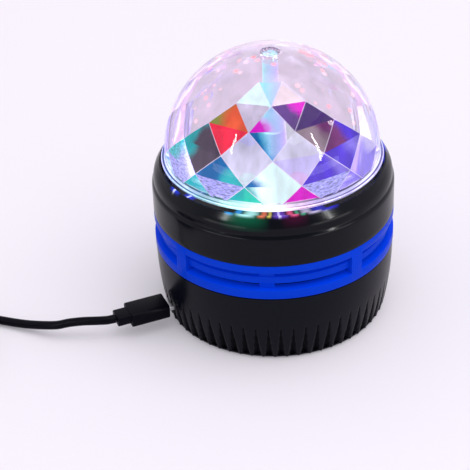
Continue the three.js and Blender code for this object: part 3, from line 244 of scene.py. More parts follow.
# Painted light leaking from the lamps onto the lip: angle, half width, how far down they reach, and colour
PAINTED_LEAKS = [
    (-57, 4.5, 0.7, (0.01, 0.04, 0.75)),
    (-57.5, 0.9, 0.9, (0.9, 0.95, 1.0)),
    (-22, 2.6, 0.5, (0.02, 0.30, 0.85)),
    (-14, 12, 3.6, (0.0, 0.10, 0.045)),
    (-14, 5.4, 0.5, (0.50, 0.90, 0.95)),
    (-6, 2.3, 0.45, (0.85, 0.12, 0.06)),
    (-2.3, 1.2, 0.4, (0.75, 0.60, 0.10)),
    (3.2, 4.4, 0.55, (0.16, 0.06, 0.62)),
    (2.9, 0.6, 0.5, (0.9, 0.9, 1.0)),
    (10, 2.4, 0.4, (0.80, 0.10, 0.25)),
    (10, 7, 2.8, (0.05, 0.0, 0.02)),
    (14.3, 1.5, 0.35, (0.02, 0.40, 0.22)),
    (20, 4, 0.4, (0.55, 0.50, 0.75)),
    (28, 5.5, 0.5, (0.02, 0.02, 0.60)),
    (100, 9, 1.2, (0.02, 0.04, 0.70)),
    (140, 8, 1.6, (0.55, 0.50, 0.90)),
    (-110, 9, 1.2, (0.02, 0.05, 0.75)),
    (-150, 9, 2.4, (0.01, 0.14, 0.07)),
]
COLUMN_TOP_RADIUS = 3 * MM
COLUMN_BOTTOM_RADIUS = 3.4 * MM
COLUMN_GRIP = 12 * MM
SHAFT_RADIUS = 2 * MM
FIT_GAP = 0.3 * MM
GUSSET_REACH = 2.2 * MM
GUSSET_HEIGHT = 3.5 * MM
GUSSET_THICKNESS = 1 * MM
POLE_NOTCHES = 16
NOTCH_WIDTH = 0.55 * MM
NOTCH_DEPTH = 0.55 * MM
POLE_DIMPLE_RADIUS = 3.9 * MM
POLE_DIMPLE_DEPTH = 0.4 * MM
# The column's painted glow is whiter towards its foot
COLUMN_SEE_THROUGH = 0.3
COLUMN_WHITE = 0.4
COLUMN_CHANGE = 11 * MM
WHITE_HUE = (0.45, 0.80, 0.90)

# Layers of painted light that the dome's faces are painted in, and noises over them, for the roughness and
# for the painted light's border, streaks and scratches: scale, lowest value, highest value and stretch
HUE_LAYERS = ("hue", "second_hue", "hue_place")
DOME_NOISES = [
    ("gloss", 60, 0.0, 0.02, None),
    ("wave", 110, -0.28, 0.28, None),
    ("streak", 160, 0.3, 1.7, (1, 1, 0.22)),
    ("scratch", 2600, -0.9, 3.1, (0.25, 0.25, 1)),
]
SCRATCH_LEAST = 0.4
HUE_BORDER = (0.5, 0.78)
PLASTIC_IOR = 1.49
PLASTIC_TINT = (0.982, 0.962, 0.992, 1)
PLASTIC_SHINE = (0.3, 0.3, 0.3, 1)
# Painted glints on the clear facets: cell scale, reach of each dot, share of cells that have one, and their
# two hues
GLINT_SCALE = 220
GLINT_REACH = 0.3
GLINT_LIKELIHOOD = 0.65
GLINT_HUES = ((1.0, 0.10, 0.06, 1), (1.0, 0.55, 0.60, 1))

# Cord: its route from the plug's neck, x and y, then the share of the way up from the coil to the plug
CORD_DIAMETER = 3.5 * MM
CORD_START_X = -70.11 * MM
CORD_ROUTE = [
    (0, 0, 1),
    (-3.2, 0.35, 1),
    (-6.8, 1.9, 0.97),
    (-12, 4.7, 0.89),
    (-17.2, 7.4, 0.74),
    (-22.4, 10.3, 0.5),
    (-31.4, 19, 0.1),
    (-40.7, 28.2, -0.06),
    (-49.4, 36.2, -0.02),
    (-56, 42.4, 0),
]
ROUTE_SAMPLES = 3
COIL_LAYER = 2.5 * MM
COIL_PITCH = 3.95 * MM
COIL_OUTER_RADIUS = 26.7 * MM
COIL_TURNS = 7.369
COIL_HEADING = 137
COIL_STEPS_PER_TURN = 24
LEAD_OUT = 20 * MM
LEAD_OUT_STEPS = 8
LEAD_OUT_FALL_SHARES = (0.2, 0.9)
FAR_GRIP_HEIGHT = 4.1 * MM
# How far the edges of the plugs and the tie are rounded
WELD = 0.001 * MM
SOFT_EDGES = {
    "plug_shell": 0.3 * MM,
    "plug_grip": 0.7 * MM,
    "cable_tie": 0.3 * MM,
    "usb_a_grip": 1.0 * MM,
    "usb_a_shell": 0.25 * MM,
}

# Each slot's finish, and the painted shade of the grooves and the painted highlight of the vent's edges:
# colour, roughness, grain scale, grain, spread of the roughness, and what else differs
MOULDINGS = {
    "black_gloss": ((0.0026, 0.0033, 0.0062), 0.17, 700, 0.015, 0.03, {"level": 0.14}),
    # Painted shade: a darker, duller black for groove faces and for the vent ring's inner wall
    "black_groove_painted_shade": ((0.0018, 0.0018, 0.0034), 0.4, 900, 0.02, 0.04, {"level": 0.04}),
    "black_satin": ((0.0023, 0.0026, 0.0066), 0.24, 900, 0.02, 0.04, {"level": 0.12}),
    "black_moulding": ((0.0020, 0.0020, 0.0052), 0.42, 1400, 0.08, 0.06, {"level": 0.07}),
    "cable_black": ((0.0012, 0.0012, 0.0042), 0.34, 1600, 0.06, 0.05, {"level": 0.07}),
    "vent_blue": ((0.0006, 0.043, 0.61), 0.3, 900, 0.02, 0.04, {"level": 0.04}),
    # Painted highlight: a paler blue for the vent's bevelled edges that face partly up
    "vent_blue_painted_highlight": ((0.22, 0.24, 0.95), 0.25, 900, 0.02, 0.04, {"level": 0.2}),
    "foot_rubber": ((0.018, 0.018, 0.02), 0.85, 2200, 0.2, 0.05, {}),
    "steel": ((0.62, 0.62, 0.64), 0.28, 900, 0.05, 0.08, {"metal": 1, "stretch": (1, 1, 12)}),
    "dark_steel": ((0.16, 0.16, 0.17), 0.38, 900, 0.06, 0.08, {"metal": 1}),
    "brass": ((0.62, 0.46, 0.18), 0.3, 900, 0.05, 0.08, {"metal": 1}),
    "gear_plastic": ((0.82, 0.82, 0.79), 0.45, 900, 0.04, 0.05, {}),
    "plate_plastic": ((0.52, 0.53, 0.54), 0.5, 900, 0.06, 0.05, {}),
    "board_white": ((0.78, 0.78, 0.79), 0.4, 900, 0.03, 0.05, {"tint": 0.04}),
    "board_green": ((0.02, 0.14, 0.05), 0.4, 900, 0.05, 0.05, {}),
    "chip_black": ((0.012, 0.012, 0.013), 0.6, 1500, 0.1, 0.05, {}),
    "can_sleeve": ((0.03, 0.04, 0.16), 0.35, 900, 0.02, 0.05, {}),
    "wire_red": ((0.45, 0.015, 0.012), 0.45, 1200, 0.03, 0.05, {}),
    "wire_black": ((0.01, 0.01, 0.011), 0.45, 1200, 0.05, 0.05, {}),
}
GLOSS_COARSER = 12
TONE_COARSER = 40
BUMP_DEPTH = 0.1 * MM
# The lights' lenses: colour, glow and strength
LENSES = {
    "led_green": ((0.2, 0.8, 0.3), (0.05, 1.0, 0.5), 0.8),
    "led_red": ((0.9, 0.12, 0.1), (1.0, 0.03, 0.12), 0.8),
    "led_white": ((0.95, 0.93, 0.8), (0.75, 0.95, 1.0), 0.8),
    "led_blue": ((0.08, 0.15, 0.95), (0.1, 0.12, 1.0), 1.0),
}
LENS_GRAIN = 700
LENS_SPREAD = 0.15

# Floor, backdrop and lights. The backdrop is dimmer on the camera's side, where a studio is dark.
FLOOR_HALF = 6.0
FLOOR_DROP = 0.02 * MM
FLOOR_COLOR = (0.72, 0.69, 0.745, 1)
FLOOR_LIFT = (0.155, 0.15, 0.165, 1)
BACKDROP_COLOR = (0.913, 0.888, 0.947, 1)
SKY_COLOR = (1.0, 0.98, 1.0, 1)
SKY_STRENGTH = 0.79
FRONT_DIMNESS = 0.25
FRONT_SPAN = (0.1, 0.8)
LIGHT_AIM = Vector((0, 0, 60 * MM))
# Name, azimuth from the camera's side (to the right positive), elevation, distance, width, height, power, and
# whether matt surfaces see it
LIGHTS = [
    ("left_box", -44, 0, 0.9, 0.6, 0.12, 0.8, True),
    ("right_box", 52, 0, 0.9, 0.6, 0.12, 0.9, True),
    ("top_box", 65, 68, 2.2, 2.2, 2.2, 24.5, True),
    ("left_strip", -46, 28, 0.9, 0.04, 0.3, 2.2, False),
    ("right_strip", 51, 21, 0.9, 0.04, 0.46, 3.2, False),
]


# Small helpers
def polar(radius, angle, z=0.0):
    turn = math.radians(angle)
    return Vector((radius * math.cos(turn), radius * math.sin(turn), z))


def turned(angle, axis):
    return Matrix.Rotation(math.radians(angle), 4, axis)


def towards(azimuth, elevation):
    """The direction from the lamp to a place with this azimuth and elevation."""
    turn, lift = math.radians(azimuth), math.radians(elevation)
    return Vector((math.sin(turn) * math.cos(lift), -math.cos(turn) * math.cos(lift), math.sin(lift)))


def through(controls, samples):
    """A smooth line through its points."""
    ends = [2 * controls[0] - controls[1], *controls, 2 * controls[-1] - controls[-2]]
    points = [controls[0]]
    for a, b, c, d in zip(ends, ends[1:], ends[2:], ends[3:]):
        for i in range(1, samples + 1):
            t = i / samples
            points.append(0.5 * (2 * b + (c - a) * t + (2 * a - 5 * b + 4 * c - d) * t ** 2
                                 + (3 * b - a - 3 * c + d) * t ** 3))
    return points


def from_front(point):
    """A point's angle round the axis from the front of the photograph, to the right positive."""
    return (math.degrees(math.atan2(point.y, point.x)) - VIEW_SIDE + 180) % 360 - 180


def off_axis(point):
    return math.hypot(point.x, point.y)


def smooth_step(share):
    held = min(1.0, max(0.0, share))
    return held * held * (3 - 2 * held)


def mixed(first, second, share):
    return tuple(a + (b - a) * share for a, b in zip(first, second))


def placed(name, data):
    """Puts an object with this data in the scene."""
    made = bpy.data.objects.new(name, data)
    bpy.context.scene.collection.objects.link(made)
    return made


def new_object(name, verts, faces):
    mesh = bpy.data.meshes.new(name)
    mesh.from_pydata([tuple(v) for v in verts], [], faces)
    mesh.update()
    return placed(name, mesh)


def reshaped(obj, *changes):
    """Makes each change, a function of the shape, to the object's mesh."""
    shape = bmesh.new()
    shape.from_mesh(obj.data)
    for change in changes:
        change(shape)
    shape.to_mesh(obj.data)
    shape.free()
    return obj


def face_outwards(shape):
    bmesh.ops.recalc_face_normals(shape, faces=shape.faces)


def lathe(name, profile, steps=SHELL_STEPS, closed=True):
    """Turns a profile of (radius, z) about the axis. A closed profile joins its last point to its first."""
    verts, rings = [], []
    for radius, z in profile:
        if radius < 1e-9:
            rings.append([len(verts)])
            verts.append((0, 0, z))
        else:
            rings.append(list(range(len(verts), len(verts) + steps)))
            for i in range(steps):
                verts.append(polar(radius, 360 * i / steps, z))
    faces = []
    pairs = list(zip(rings, rings[1:]))
    if closed:
        pairs.append((rings[-1], rings[0]))
    for low, high in pairs:
        for i in range(steps):
            j = (i + 1) % steps
            if len(low) == 1 and len(high) == 1:
                continue
            if len(low) == 1:
                faces.append((low[0], high[j], high[i]))
            elif len(high) == 1:
                faces.append((low[i], low[j], high[0]))
            else:
                faces.append((low[i], low[j], high[j], high[i]))
    return reshaped(new_object(name, verts, faces), face_outwards)


def prism(name, outline, low, high):
    """A straight prism over an outline of (x, y)."""
    count = len(outline)
    verts = [(x, y, low) for x, y in outline] + [(x, y, high) for x, y in outline]
    faces = [tuple(range(count))[::-1], tuple(range(count, 2 * count))]
    for i in range(count):
        j = (i + 1) % count
        faces.append((i, j, count + j, count + i))
    return reshaped(new_object(name, verts, faces), face_outwards)


def rounded_outline(width, height, corner, steps=5):
    points = []
    for quarter, (sx, sy) in enumerate([(1, 1), (-1, 1), (-1, -1), (1, -1)]):
        for i in range(steps + 1):
            turn = math.radians(90 * quarter + 90 * i / steps)
            x = sx * (width / 2 - corner) + corner * math.cos(turn)
            y = sy * (height / 2 - corner) + corner * math.sin(turn)
            points.append((x, y))
    return points


def baked(obj):
    """Applies what the object's modifiers make of it."""
    bpy.context.view_layer.update()
    graph = bpy.context.evaluated_depsgraph_get()
    mesh = bpy.data.meshes.new_from_object(obj.evaluated_get(graph))
    obj.modifiers.clear()
    old = obj.data
    obj.data = mesh
    bpy.data.meshes.remove(old)
    return obj


def combined(obj, others, operation):
    """Joins or cuts obj with other solids, which are used up."""
    for other in others:
        modifier = obj.modifiers.new("combine", "BOOLEAN")
        modifier.operation = operation
        modifier.object = other
        modifier.solver = "MANIFOLD"
    baked(obj)
    for other in others:
        bpy.data.objects.remove(other)
    return obj


def bevelled(obj, width, segments=2, angle=30):
    modifier = obj.modifiers.new("edges", "BEVEL")
    modifier.width = width
    modifier.segments = segments
    modifier.limit_method = "ANGLE"
    modifier.angle_limit = math.radians(angle)
    modifier.use_clamp_overlap = True
    return baked(obj)


def shaded(obj, sharp_angle=30):
    obj.data.shade_smooth()
    obj.data.set_sharp_from_angle(angle=math.radians(sharp_angle))
    return obj


def painted(obj, layer, rule):
    """Stores a colour at each face corner: rule(corner's position, face's centre, face's normal)."""
    colors = obj.data.color_attributes.new(layer, "FLOAT_COLOR", "CORNER")
    for face in obj.data.polygons:
        for corner in face.loop_indices:
            point = obj.data.vertices[obj.data.loops[corner].vertex_index].co
            colors.data[corner].color = rule(point, face.center, face.normal)
    return obj


def finished(obj, body, slot, *nodes):
    """Gives a piece its slot's finish, its body, and the nodes that it stands for."""
    obj.data.materials.clear()
    obj.data.materials.append(FINISHES[slot])
    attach(obj, body)
    if nodes:
        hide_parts(*nodes)
    return obj


# Camera and view
def make_camera():
    back = towards(VIEW_AZIMUTH, VIEW_ELEVATION)
    data = bpy.data.cameras.new("camera")
    data.lens = LENS
    data.sensor_width = SENSOR
    data.clip_start = 0.01
    data.clip_end = 20
    camera = placed("camera", data)
    facing = (-back).to_track_quat("-Z", "Y").to_matrix().to_4x4()
    place = Matrix.Translation(VIEW_TARGET + back * VIEW_DISTANCE)
    shift = turned(VIEW_ROLL, "Z") @ turned(VIEW_PAN, "Y") @ turned(VIEW_TILT, "X")
    camera.matrix_world = place @ facing @ shift
    bpy.context.scene.camera = camera


# Materials
def nodes_of(material):
    tree = material.node_tree
    return tree, next(n for n in tree.nodes if n.type == "BSDF_PRINCIPLED")


def new_material(name):
    """A new material, its nodes and its shader."""
    material = bpy.data.materials.new(name)
    material.use_nodes = True
    return (material, *nodes_of(material))


def filled(tree, node, values):
    """Sets inputs of a node, each to a constant or by a link from a socket."""
    for name, value in values.items():
        if isinstance(value, bpy.types.NodeSocket):
            tree.links.new(value, node.inputs[name])
        else:
            node.inputs[name].default_value = value
    return node


def added(tree, kind, values=(), **settings):
    """A new node with its settings and inputs."""
    made = tree.nodes.new(kind)
    for name, value in settings.items():
        setattr(made, name, value)
    return filled(tree, made, dict(values))


def worked(tree, operation, *values):
    """A Math node's result."""
    return added(tree, "ShaderNodeMath", enumerate(values), operation=operation).outputs[0]


def blended(tree, share, first, second, blend="MIX", kind="RGBA"):
    """A Mix node's result."""
    values = {"Factor": share, "A": first, "B": second}
    return added(tree, "ShaderNodeMix", values, data_type=kind, blend_type=blend).outputs["Result"]


def ranged(tree, value, low, high, start=0.0, end=1.0, shape="LINEAR"):
    """Spreads a value that runs from start to end between low and high."""
    values = {"Value": value, "From Min": start, "From Max": end, "To Min": low, "To Max": high}
    return added(tree, "ShaderNodeMapRange", values, interpolation_type=shape).outputs["Result"]


def noise(tree, scale, detail=4, stretch=None):
    """A noise in object space."""
    place = added(tree, "ShaderNodeTexCoord").outputs["Object"]
    if stretch:
        place = added(tree, "ShaderNodeMapping", {"Vector": place, "Scale": stretch}).outputs["Vector"]
    values = {"Vector": place, "Scale": scale, "Detail": detail}
    return added(tree, "ShaderNodeTexNoise", values).outputs["Fac"]


def attribute(tree, name):
    return added(tree, "ShaderNodeAttribute", attribute_name=name)


def moulded(name, color, rough, grain_scale, grain, spread, tint=0.12, level=0.5, stretch=None, metal=0.0):
    """Moulded plastic, rubber or metal: a fine grain, uneven gloss and a slight change of tone."""
    material, tree, shader = new_material(name)
    gloss = noise(tree, grain_scale / GLOSS_COARSER, stretch=stretch)
    tone = noise(tree, grain_scale / TONE_COARSER)
    dark = (*[c * (1 - tint) for c in color], 1)
    pale = (*[min(1, c * (1 + tint)) for c in color], 1)
    bump = added(tree, "ShaderNodeBump", {
        "Strength": grain, "Distance": BUMP_DEPTH, "Height": noise(tree, grain_scale, 6, stretch)})
    filled(tree, shader, {
        "Metallic": metal, "Specular IOR Level": level,
        "Roughness": ranged(tree, gloss, rough - spread, rough + spread),
        "Base Color": blended(tree, tone, dark, pale), "Normal": bump.outputs["Normal"]})
    return material


def show_painted_light(material, layer):
    """Lets a material emit the painted light stored in a layer: a glow where there is no lamp."""
    tree, shader = nodes_of(material)
    filled(tree, shader, {"Emission Color": attribute(tree, layer).outputs["Color"], "Emission Strength": 1})


def lens(name, color, glow, strength):
    """A light's lens: glossy plastic with an uneven glow."""
    material, tree, shader = new_material(name)
    power = ranged(tree, noise(tree, LENS_GRAIN), strength * (1 - LENS_SPREAD), strength * (1 + LENS_SPREAD))
    filled(tree, shader, {
        "Base Color": (*color, 1), "Roughness": 0.15,
        "Emission Color": (*glow, 1), "Emission Strength": power})
    return material


def glints(tree):
    """Sparse small painted glints: a share from 0 to 1, and a random value for each."""
    place = added(tree, "ShaderNodeTexCoord").outputs["Object"]
    cells = added(tree, "ShaderNodeTexVoronoi", {"Vector": place, "Scale": GLINT_SCALE})
    dot = ranged(tree, cells.outputs["Distance"], 0.0, 1.0, GLINT_REACH, GLINT_REACH / 3)
    pick = added(tree, "ShaderNodeSeparateColor", {"Color": cells.outputs["Color"]})
    chosen = worked(tree, "GREATER_THAN", pick.outputs["Red"], 1 - GLINT_LIKELIHOOD)
    return worked(tree, "MULTIPLY", dot, chosen), pick.outputs["Green"]


def clear_plastic():
    """Clear plastic whose facets glow with painted light in the lights' colours on the side towards the
    outside.

    The layers hue and second_hue hold the two colours, with the square of how much shows through as alpha.
    hue_place holds the second hue's share, whether both sides show the hue, whether it shows painted glints,
    and whether it is brushed.
    """
    material, tree, shader = new_material("clear_plastic")
    patterns = {name: ranged(tree, noise(tree, scale, stretch=stretch), low, high)
                for name, scale, low, high, stretch in DOME_NOISES}
    main, second, place = (attribute(tree, name) for name in HUE_LAYERS)
    sides = added(tree, "ShaderNodeNewGeometry")
    split = added(tree, "ShaderNodeSeparateColor", {"Color": place.outputs["Color"]})
    brushed = place.outputs["Alpha"]
    shown = worked(tree, "MAXIMUM", sides.outputs["Backfacing"], split.outputs["Green"])

    # Painted light: the facet's hue glows in streaks, or in fine scratched lines where it is brushed, on the
    # side shown
    border = worked(tree, "ADD", split.outputs["Red"], patterns["wave"])
    border = ranged(tree, border, 0.0, 1.0, *HUE_BORDER, "SMOOTHSTEP")
    hue = blended(tree, border, main.outputs["Color"], second.outputs["Color"])
    scratch = worked(tree, "MAXIMUM", patterns["scratch"], SCRATCH_LEAST)
    scratch = worked(tree, "MULTIPLY", scratch, brushed)
    plain = worked(tree, "MULTIPLY", patterns["streak"], worked(tree, "SUBTRACT", 1, brushed))
    strength = worked(tree, "MULTIPLY", shown, worked(tree, "ADD", plain, scratch))
    lit = blended(tree, 1.0, hue, strength, "MULTIPLY")

    # Painted glints: small red and pink dots that also block what lies behind
    kept, chance = glints(tree)
    sparks = worked(tree, "MULTIPLY", kept, worked(tree, "MULTIPLY", shown, split.outputs["Blue"]))
    spark_hue = blended(tree, 1.0, blended(tree, chance, *GLINT_HUES), sparks, "MULTIPLY")

    clearness = blended(tree, border, main.outputs["Alpha"], second.outputs["Alpha"], kind="FLOAT")
    seen_through = worked(tree, "MULTIPLY_ADD", worked(tree, "SUBTRACT", clearness, 1), shown, 1)
    seen_through = worked(tree, "MULTIPLY", seen_through, worked(tree, "SUBTRACT", 1, sparks))
    filled(tree, shader, {
        "Transmission Weight": 1, "IOR": PLASTIC_IOR, "Specular Tint": PLASTIC_SHINE,
        "Roughness": patterns["gloss"],
        "Base Color": blended(tree, seen_through, (0, 0, 0, 1), PLASTIC_TINT),
        "Emission Color": blended(tree, 1.0, lit, spark_hue, "ADD"), "Emission Strength": 1})
    return material


FINISHES = {slot: moulded(slot, *values, **more) for slot, (*values, more) in MOULDINGS.items()}
FINISHES.update({slot: lens(slot, *values) for slot, values in LENSES.items()})
FINISHES["clear_plastic"] = clear_plastic()
# The lip shows painted light leaking from the lamps, and the vent's slot floors show painted blue light
show_painted_light(FINISHES["black_gloss"], "painted_leak")
show_painted_light(FINISHES["vent_blue"], "slot_painted_light")


def dress_nodes():
    """Every node gets its slot's finish and smooth shading between its sharp edges."""
    for part in frame["record"]["subparts"]:
        node = frame["nodes"][part["node"]]
        node.data.materials.clear()
        node.data.materials.append(FINISHES[part["material_slot"]])
        shaded(node)


# The cord and its coil
def weld(shape):
    bmesh.ops.remove_doubles(shape, verts=shape.verts, dist=WELD)
    bmesh.ops.dissolve_limit(shape, angle_limit=math.radians(1), verts=shape.verts, edges=shape.edges)


def softened(node, width):
    """A copy of a node with rounded edges, which stands for it."""
    piece = placed(f"rounded_{node}", frame["nodes"][node].data.copy())
    reshaped(piece, weld, face_outwards)
    bevelled(piece, width, 3, 25)
    shaded(piece)
    slot = next(part["material_slot"] for part in frame["record"]["subparts"] if part["node"] == node)
    return finished(piece, "usb_cable", slot, node)


def route_points():
    controls = [
        Vector((CORD_START_X + x * MM, y * MM, COIL_LAYER + rise * (PORT_HEIGHT - COIL_LAYER)))
        for x, y, rise in CORD_ROUTE
    ]
    return through(controls, ROUTE_SAMPLES)


def coil_points(start):
    """The coil winds in along its lower layer, climbs, and winds out again."""
    heading = polar(1, COIL_HEADING)
    begin = start + heading * FIT_GAP
    entry = begin + heading * CORD_DIAMETER
    centre = entry + polar(COIL_OUTER_RADIUS, COIL_HEADING + 90)
    steps = round(COIL_TURNS * COIL_STEPS_PER_TURN)
    points = [begin, entry]
    for step in range(1, steps + 1):
        turn = step / steps * COIL_TURNS
        from_middle = turn - COIL_TURNS / 2
        radius = COIL_OUTER_RADIUS - COIL_PITCH * (COIL_TURNS / 2 - abs(from_middle))
        height = COIL_LAYER + COIL_PITCH * smooth_step(2 * from_middle + 0.5)
        across = polar(radius, COIL_HEADING - 90 + turn * 360)
        points.append(Vector((centre.x + across.x, centre.y + across.y, height)))
    out = polar(1, COIL_HEADING + COIL_TURNS * 360)
    last = points[-1]
    fall_start, fall_end = LEAD_OUT_FALL_SHARES
    for step in range(1, LEAD_OUT_STEPS + 1):
        share = step / LEAD_OUT_STEPS
        point = last + out * (share * LEAD_OUT)
        fallen = smooth_step((share - fall_start) / (fall_end - fall_start))
        point.z = last.z + (FAR_GRIP_HEIGHT - last.z) * fallen
        points.append(point)
    points.append(points[-1] + out * CORD_DIAMETER)
    return points


def make_cord():
    route = route_points()
    curve = bpy.data.curves.new("cord_line", "CURVE")
    curve.dimensions = "3D"
    curve.bevel_depth = CORD_DIAMETER / 2
    curve.bevel_resolution = 5
    curve.resolution_u = 4
    curve.use_fill_caps = True
    spline = curve.splines.new("BEZIER")
    points = route + coil_points(route[-1])
    spline.bezier_points.add(len(points) - 1)
    for knot, point in zip(spline.bezier_points, points):
        knot.co = point
        knot.handle_left_type = "AUTO"
        knot.handle_right_type = "AUTO"
    line = placed("cord_line", curve)
    line.data.materials.append(FINISHES["cable_black"])
    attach(line, "usb_cable")
    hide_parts("cord", "cord_coil")
    pieces = [softened(node, width) for node, width in SOFT_EDGES.items()]


# Lower housing
def lower_radius(height):
    narrowing = LOWER_BOTTOM_INSET * (1 - height / LOWER_HEIGHT) ** LOWER_CURVE_POWER
    return BODY_RADIUS - LOWER_TOP_INSET - narrowing


def flute_depth(height):
    return FLUTE_DEPTH * max(0.0, 1 - height / FLUTE_HEIGHT)


def fluted_radius(height, step):
    """Each flute is a V, at the foot as wide as the flutes stand apart, and runs out to a point above."""
    from_valley = abs((step % FLUTE_STEPS) / FLUTE_STEPS - 0.5) * 2
    cut = max(0.0, flute_depth(height) - FLUTE_DEPTH * from_valley)
    if height < FOOT_RING_HEIGHT:
        cut = min(cut, FOOT_RING_INSET)
    return lower_radius(height) - cut


def make_lower_housing():
    columns = FLUTE_COUNT * FLUTE_STEPS
    heights = [FLUTE_HEIGHT * i / FLUTE_ROWS for i in range(FLUTE_ROWS)]
    plain = LOWER_HEIGHT - EDGE_ROUND - FLUTE_HEIGHT
    heights += [FLUTE_HEIGHT + plain * i / PLAIN_ROWS for i in range(PLAIN_ROWS + 1)]
    heights[1:1] = [FOOT_RING_HEIGHT - FOOT_RING_STEP, FOOT_RING_HEIGHT]
    rows = [(height, 0.0) for height in sorted(heights)]
    rows += [(LOWER_HEIGHT - EDGE_ROUND * 0.9, EDGE_ROUND), (LOWER_HEIGHT, EDGE_ROUND * 1.1)]
    verts, faces = [], []
    for height, inset in rows:
        for i in range(columns):
            radius = fluted_radius(height, i) - inset
            verts.append(polar(radius, 360 * i / columns, LOWER_LOW.z + height))
    for row in range(len(rows) - 1):
        for i in range(columns):
            j = (i + 1) % columns
            low, high = row * columns, (row + 1) * columns
            faces.append((low + i, low + j, high + j, high + i))
    faces.append(tuple(range(columns))[::-1])
    faces.append(tuple(range((len(rows) - 1) * columns, len(rows) * columns)))
    shell = new_object("lower_shell", verts, faces)
    levels = (0, FLUTE_HEIGHT, LOWER_HEIGHT)
    inner = [(lower_radius(h) - flute_depth(h) - SHELL_WALL, LOWER_LOW.z + h) for h in levels]
    low, high = LOWER_LOW.z - OVER, LOWER_HIGH.z + OVER
    room = lathe("room", [(0, low), (inner[0][0], low), *inner, (inner[-1][0], high), (0, high)], 128, False)
    port = prism("port", rounded_outline(*PORT_SIZE, PORT_CORNER), -OVER * 4, OVER * 4)
    place = Matrix.Translation((-lower_radius(PORT_HEIGHT), 0, PORT_HEIGHT))
    port.data.transform(place @ turned(90, "Y") @ turned(90, "Z"))
    combined(shell, [room, port], "DIFFERENCE")
    shaded(shell, 34)
    finished(shell, "housing", "black_satin", "lower_housing")
    # Faces deep in the grooves get the darker black as painted shade
    shell.data.materials.append(FINISHES["black_groove_painted_shade"])
    for face in shell.data.polygons:
        height = face.center.z - LOWER_LOW.z
        cut = lower_radius(height) - off_axis(face.center)
        start = max(GROOVE_SHADE_START, flute_depth(height) * (1 - GROOVE_SHADE_SHARE))
        if 0 < height < FLUTE_HEIGHT and start < cut < SHELL_WALL:
            face.material_index = 1
    return shell


# Vent ring
def sector(name, from_angle, to_angle, inner, outer, low, high, steps=24):
    turns = [from_angle + (to_angle - from_angle) * i / steps for i in range(steps + 1)]
    outline = [polar(outer, a)[:2] for a in turns] + [polar(inner, a)[:2] for a in reversed(turns)]
    return prism(name, outline, low, high)


def make_vent_ring():
    low, high = VENT_LOW.z, VENT_HIGH.z
    face = BODY_RADIUS - VENT_RECESS
    inner = face - VENT_WALL
    slot_1 = low + BOTTOM_FLANGE
    slat_1 = slot_1 + LOWER_SLOT
    slat_2 = slat_1 + SLAT
    slot_2 = slat_2 + UPPER_SLOT
    profile = [
        (inner, low), (BODY_RADIUS, low), (BODY_RADIUS, slot_1), (face, slot_1), (face, slat_1),
        (face + SLAT_PROUD, slat_1), (face + SLAT_PROUD, slat_2), (face, slat_2), (face, slot_2),
        (BODY_RADIUS, slot_2), (BODY_RADIUS, high), (inner, high),
    ]
    ring = lathe("vent_band", profile)
    bar_half = math.degrees(math.asin(BAR_WIDTH / 2 / BODY_RADIUS))
    pillar_half = math.degrees(math.asin(PILLAR_WIDTH / 2 / face))
    cuts, bars = [], []
    for i in range(QUARTERS):
        bar, pillar = BAR_ANGLE + 90 * i, PILLAR_ANGLE + 90 * i
        spans = ((bar + bar_half, pillar - pillar_half), (pillar + pillar_half, bar + 90 - bar_half))
        for start, end in spans:
            for from_z, to_z in ((slot_1, slat_1), (slat_2, slot_2)):
                cuts.append(sector("slot", start, end, inner - OVER, BODY_RADIUS + OVER, from_z, to_z))
        bars.append(sector("bar", bar - bar_half, bar + bar_half, inner + OVER / 4, BODY_RADIUS,
                           slot_1 - OVER / 2, slot_2 + OVER / 2, 10))
    combined(ring, cuts, "DIFFERENCE")
    combined(ring, bars, "UNION")
    bevelled(ring, VENT_EDGE, 2, 40)
    shaded(ring, 40)
    finished(ring, "housing", "vent_blue", "vent_ring")
    ring.data.materials.append(FINISHES["vent_blue_painted_highlight"])
    ring.data.materials.append(FINISHES["black_groove_painted_shade"])

    # Slot floors that face up inside the ring get the painted blue light
    def glow(_, centre, normal):
        across = off_axis(centre)
        inside = across < BODY_RADIUS - VENT_RECESS / 4 and slot_1 - OVER < centre.z < slot_2
        return (*SLOT_PAINTED_LIGHT, 1) if inside and normal.z > 0.5 else (0, 0, 0, 1)

    painted(ring, "slot_painted_light", glow)
    for part in ring.data.polygons:
        # Edges that face partly up get the paler blue of a painted highlight
        if VENT_HIGHLIGHT_SLOPE < part.normal.z < 1 - VENT_HIGHLIGHT_SLOPE / 4:
            part.material_index = 1
        # Faces of the inner wall, seen through the slots, get the darker black as painted shade
        across = off_axis(part.center)
        if across < inner + VENT_EDGE / 2 and abs(part.normal.z) < 0.5:
            part.material_index = 2
    return ring


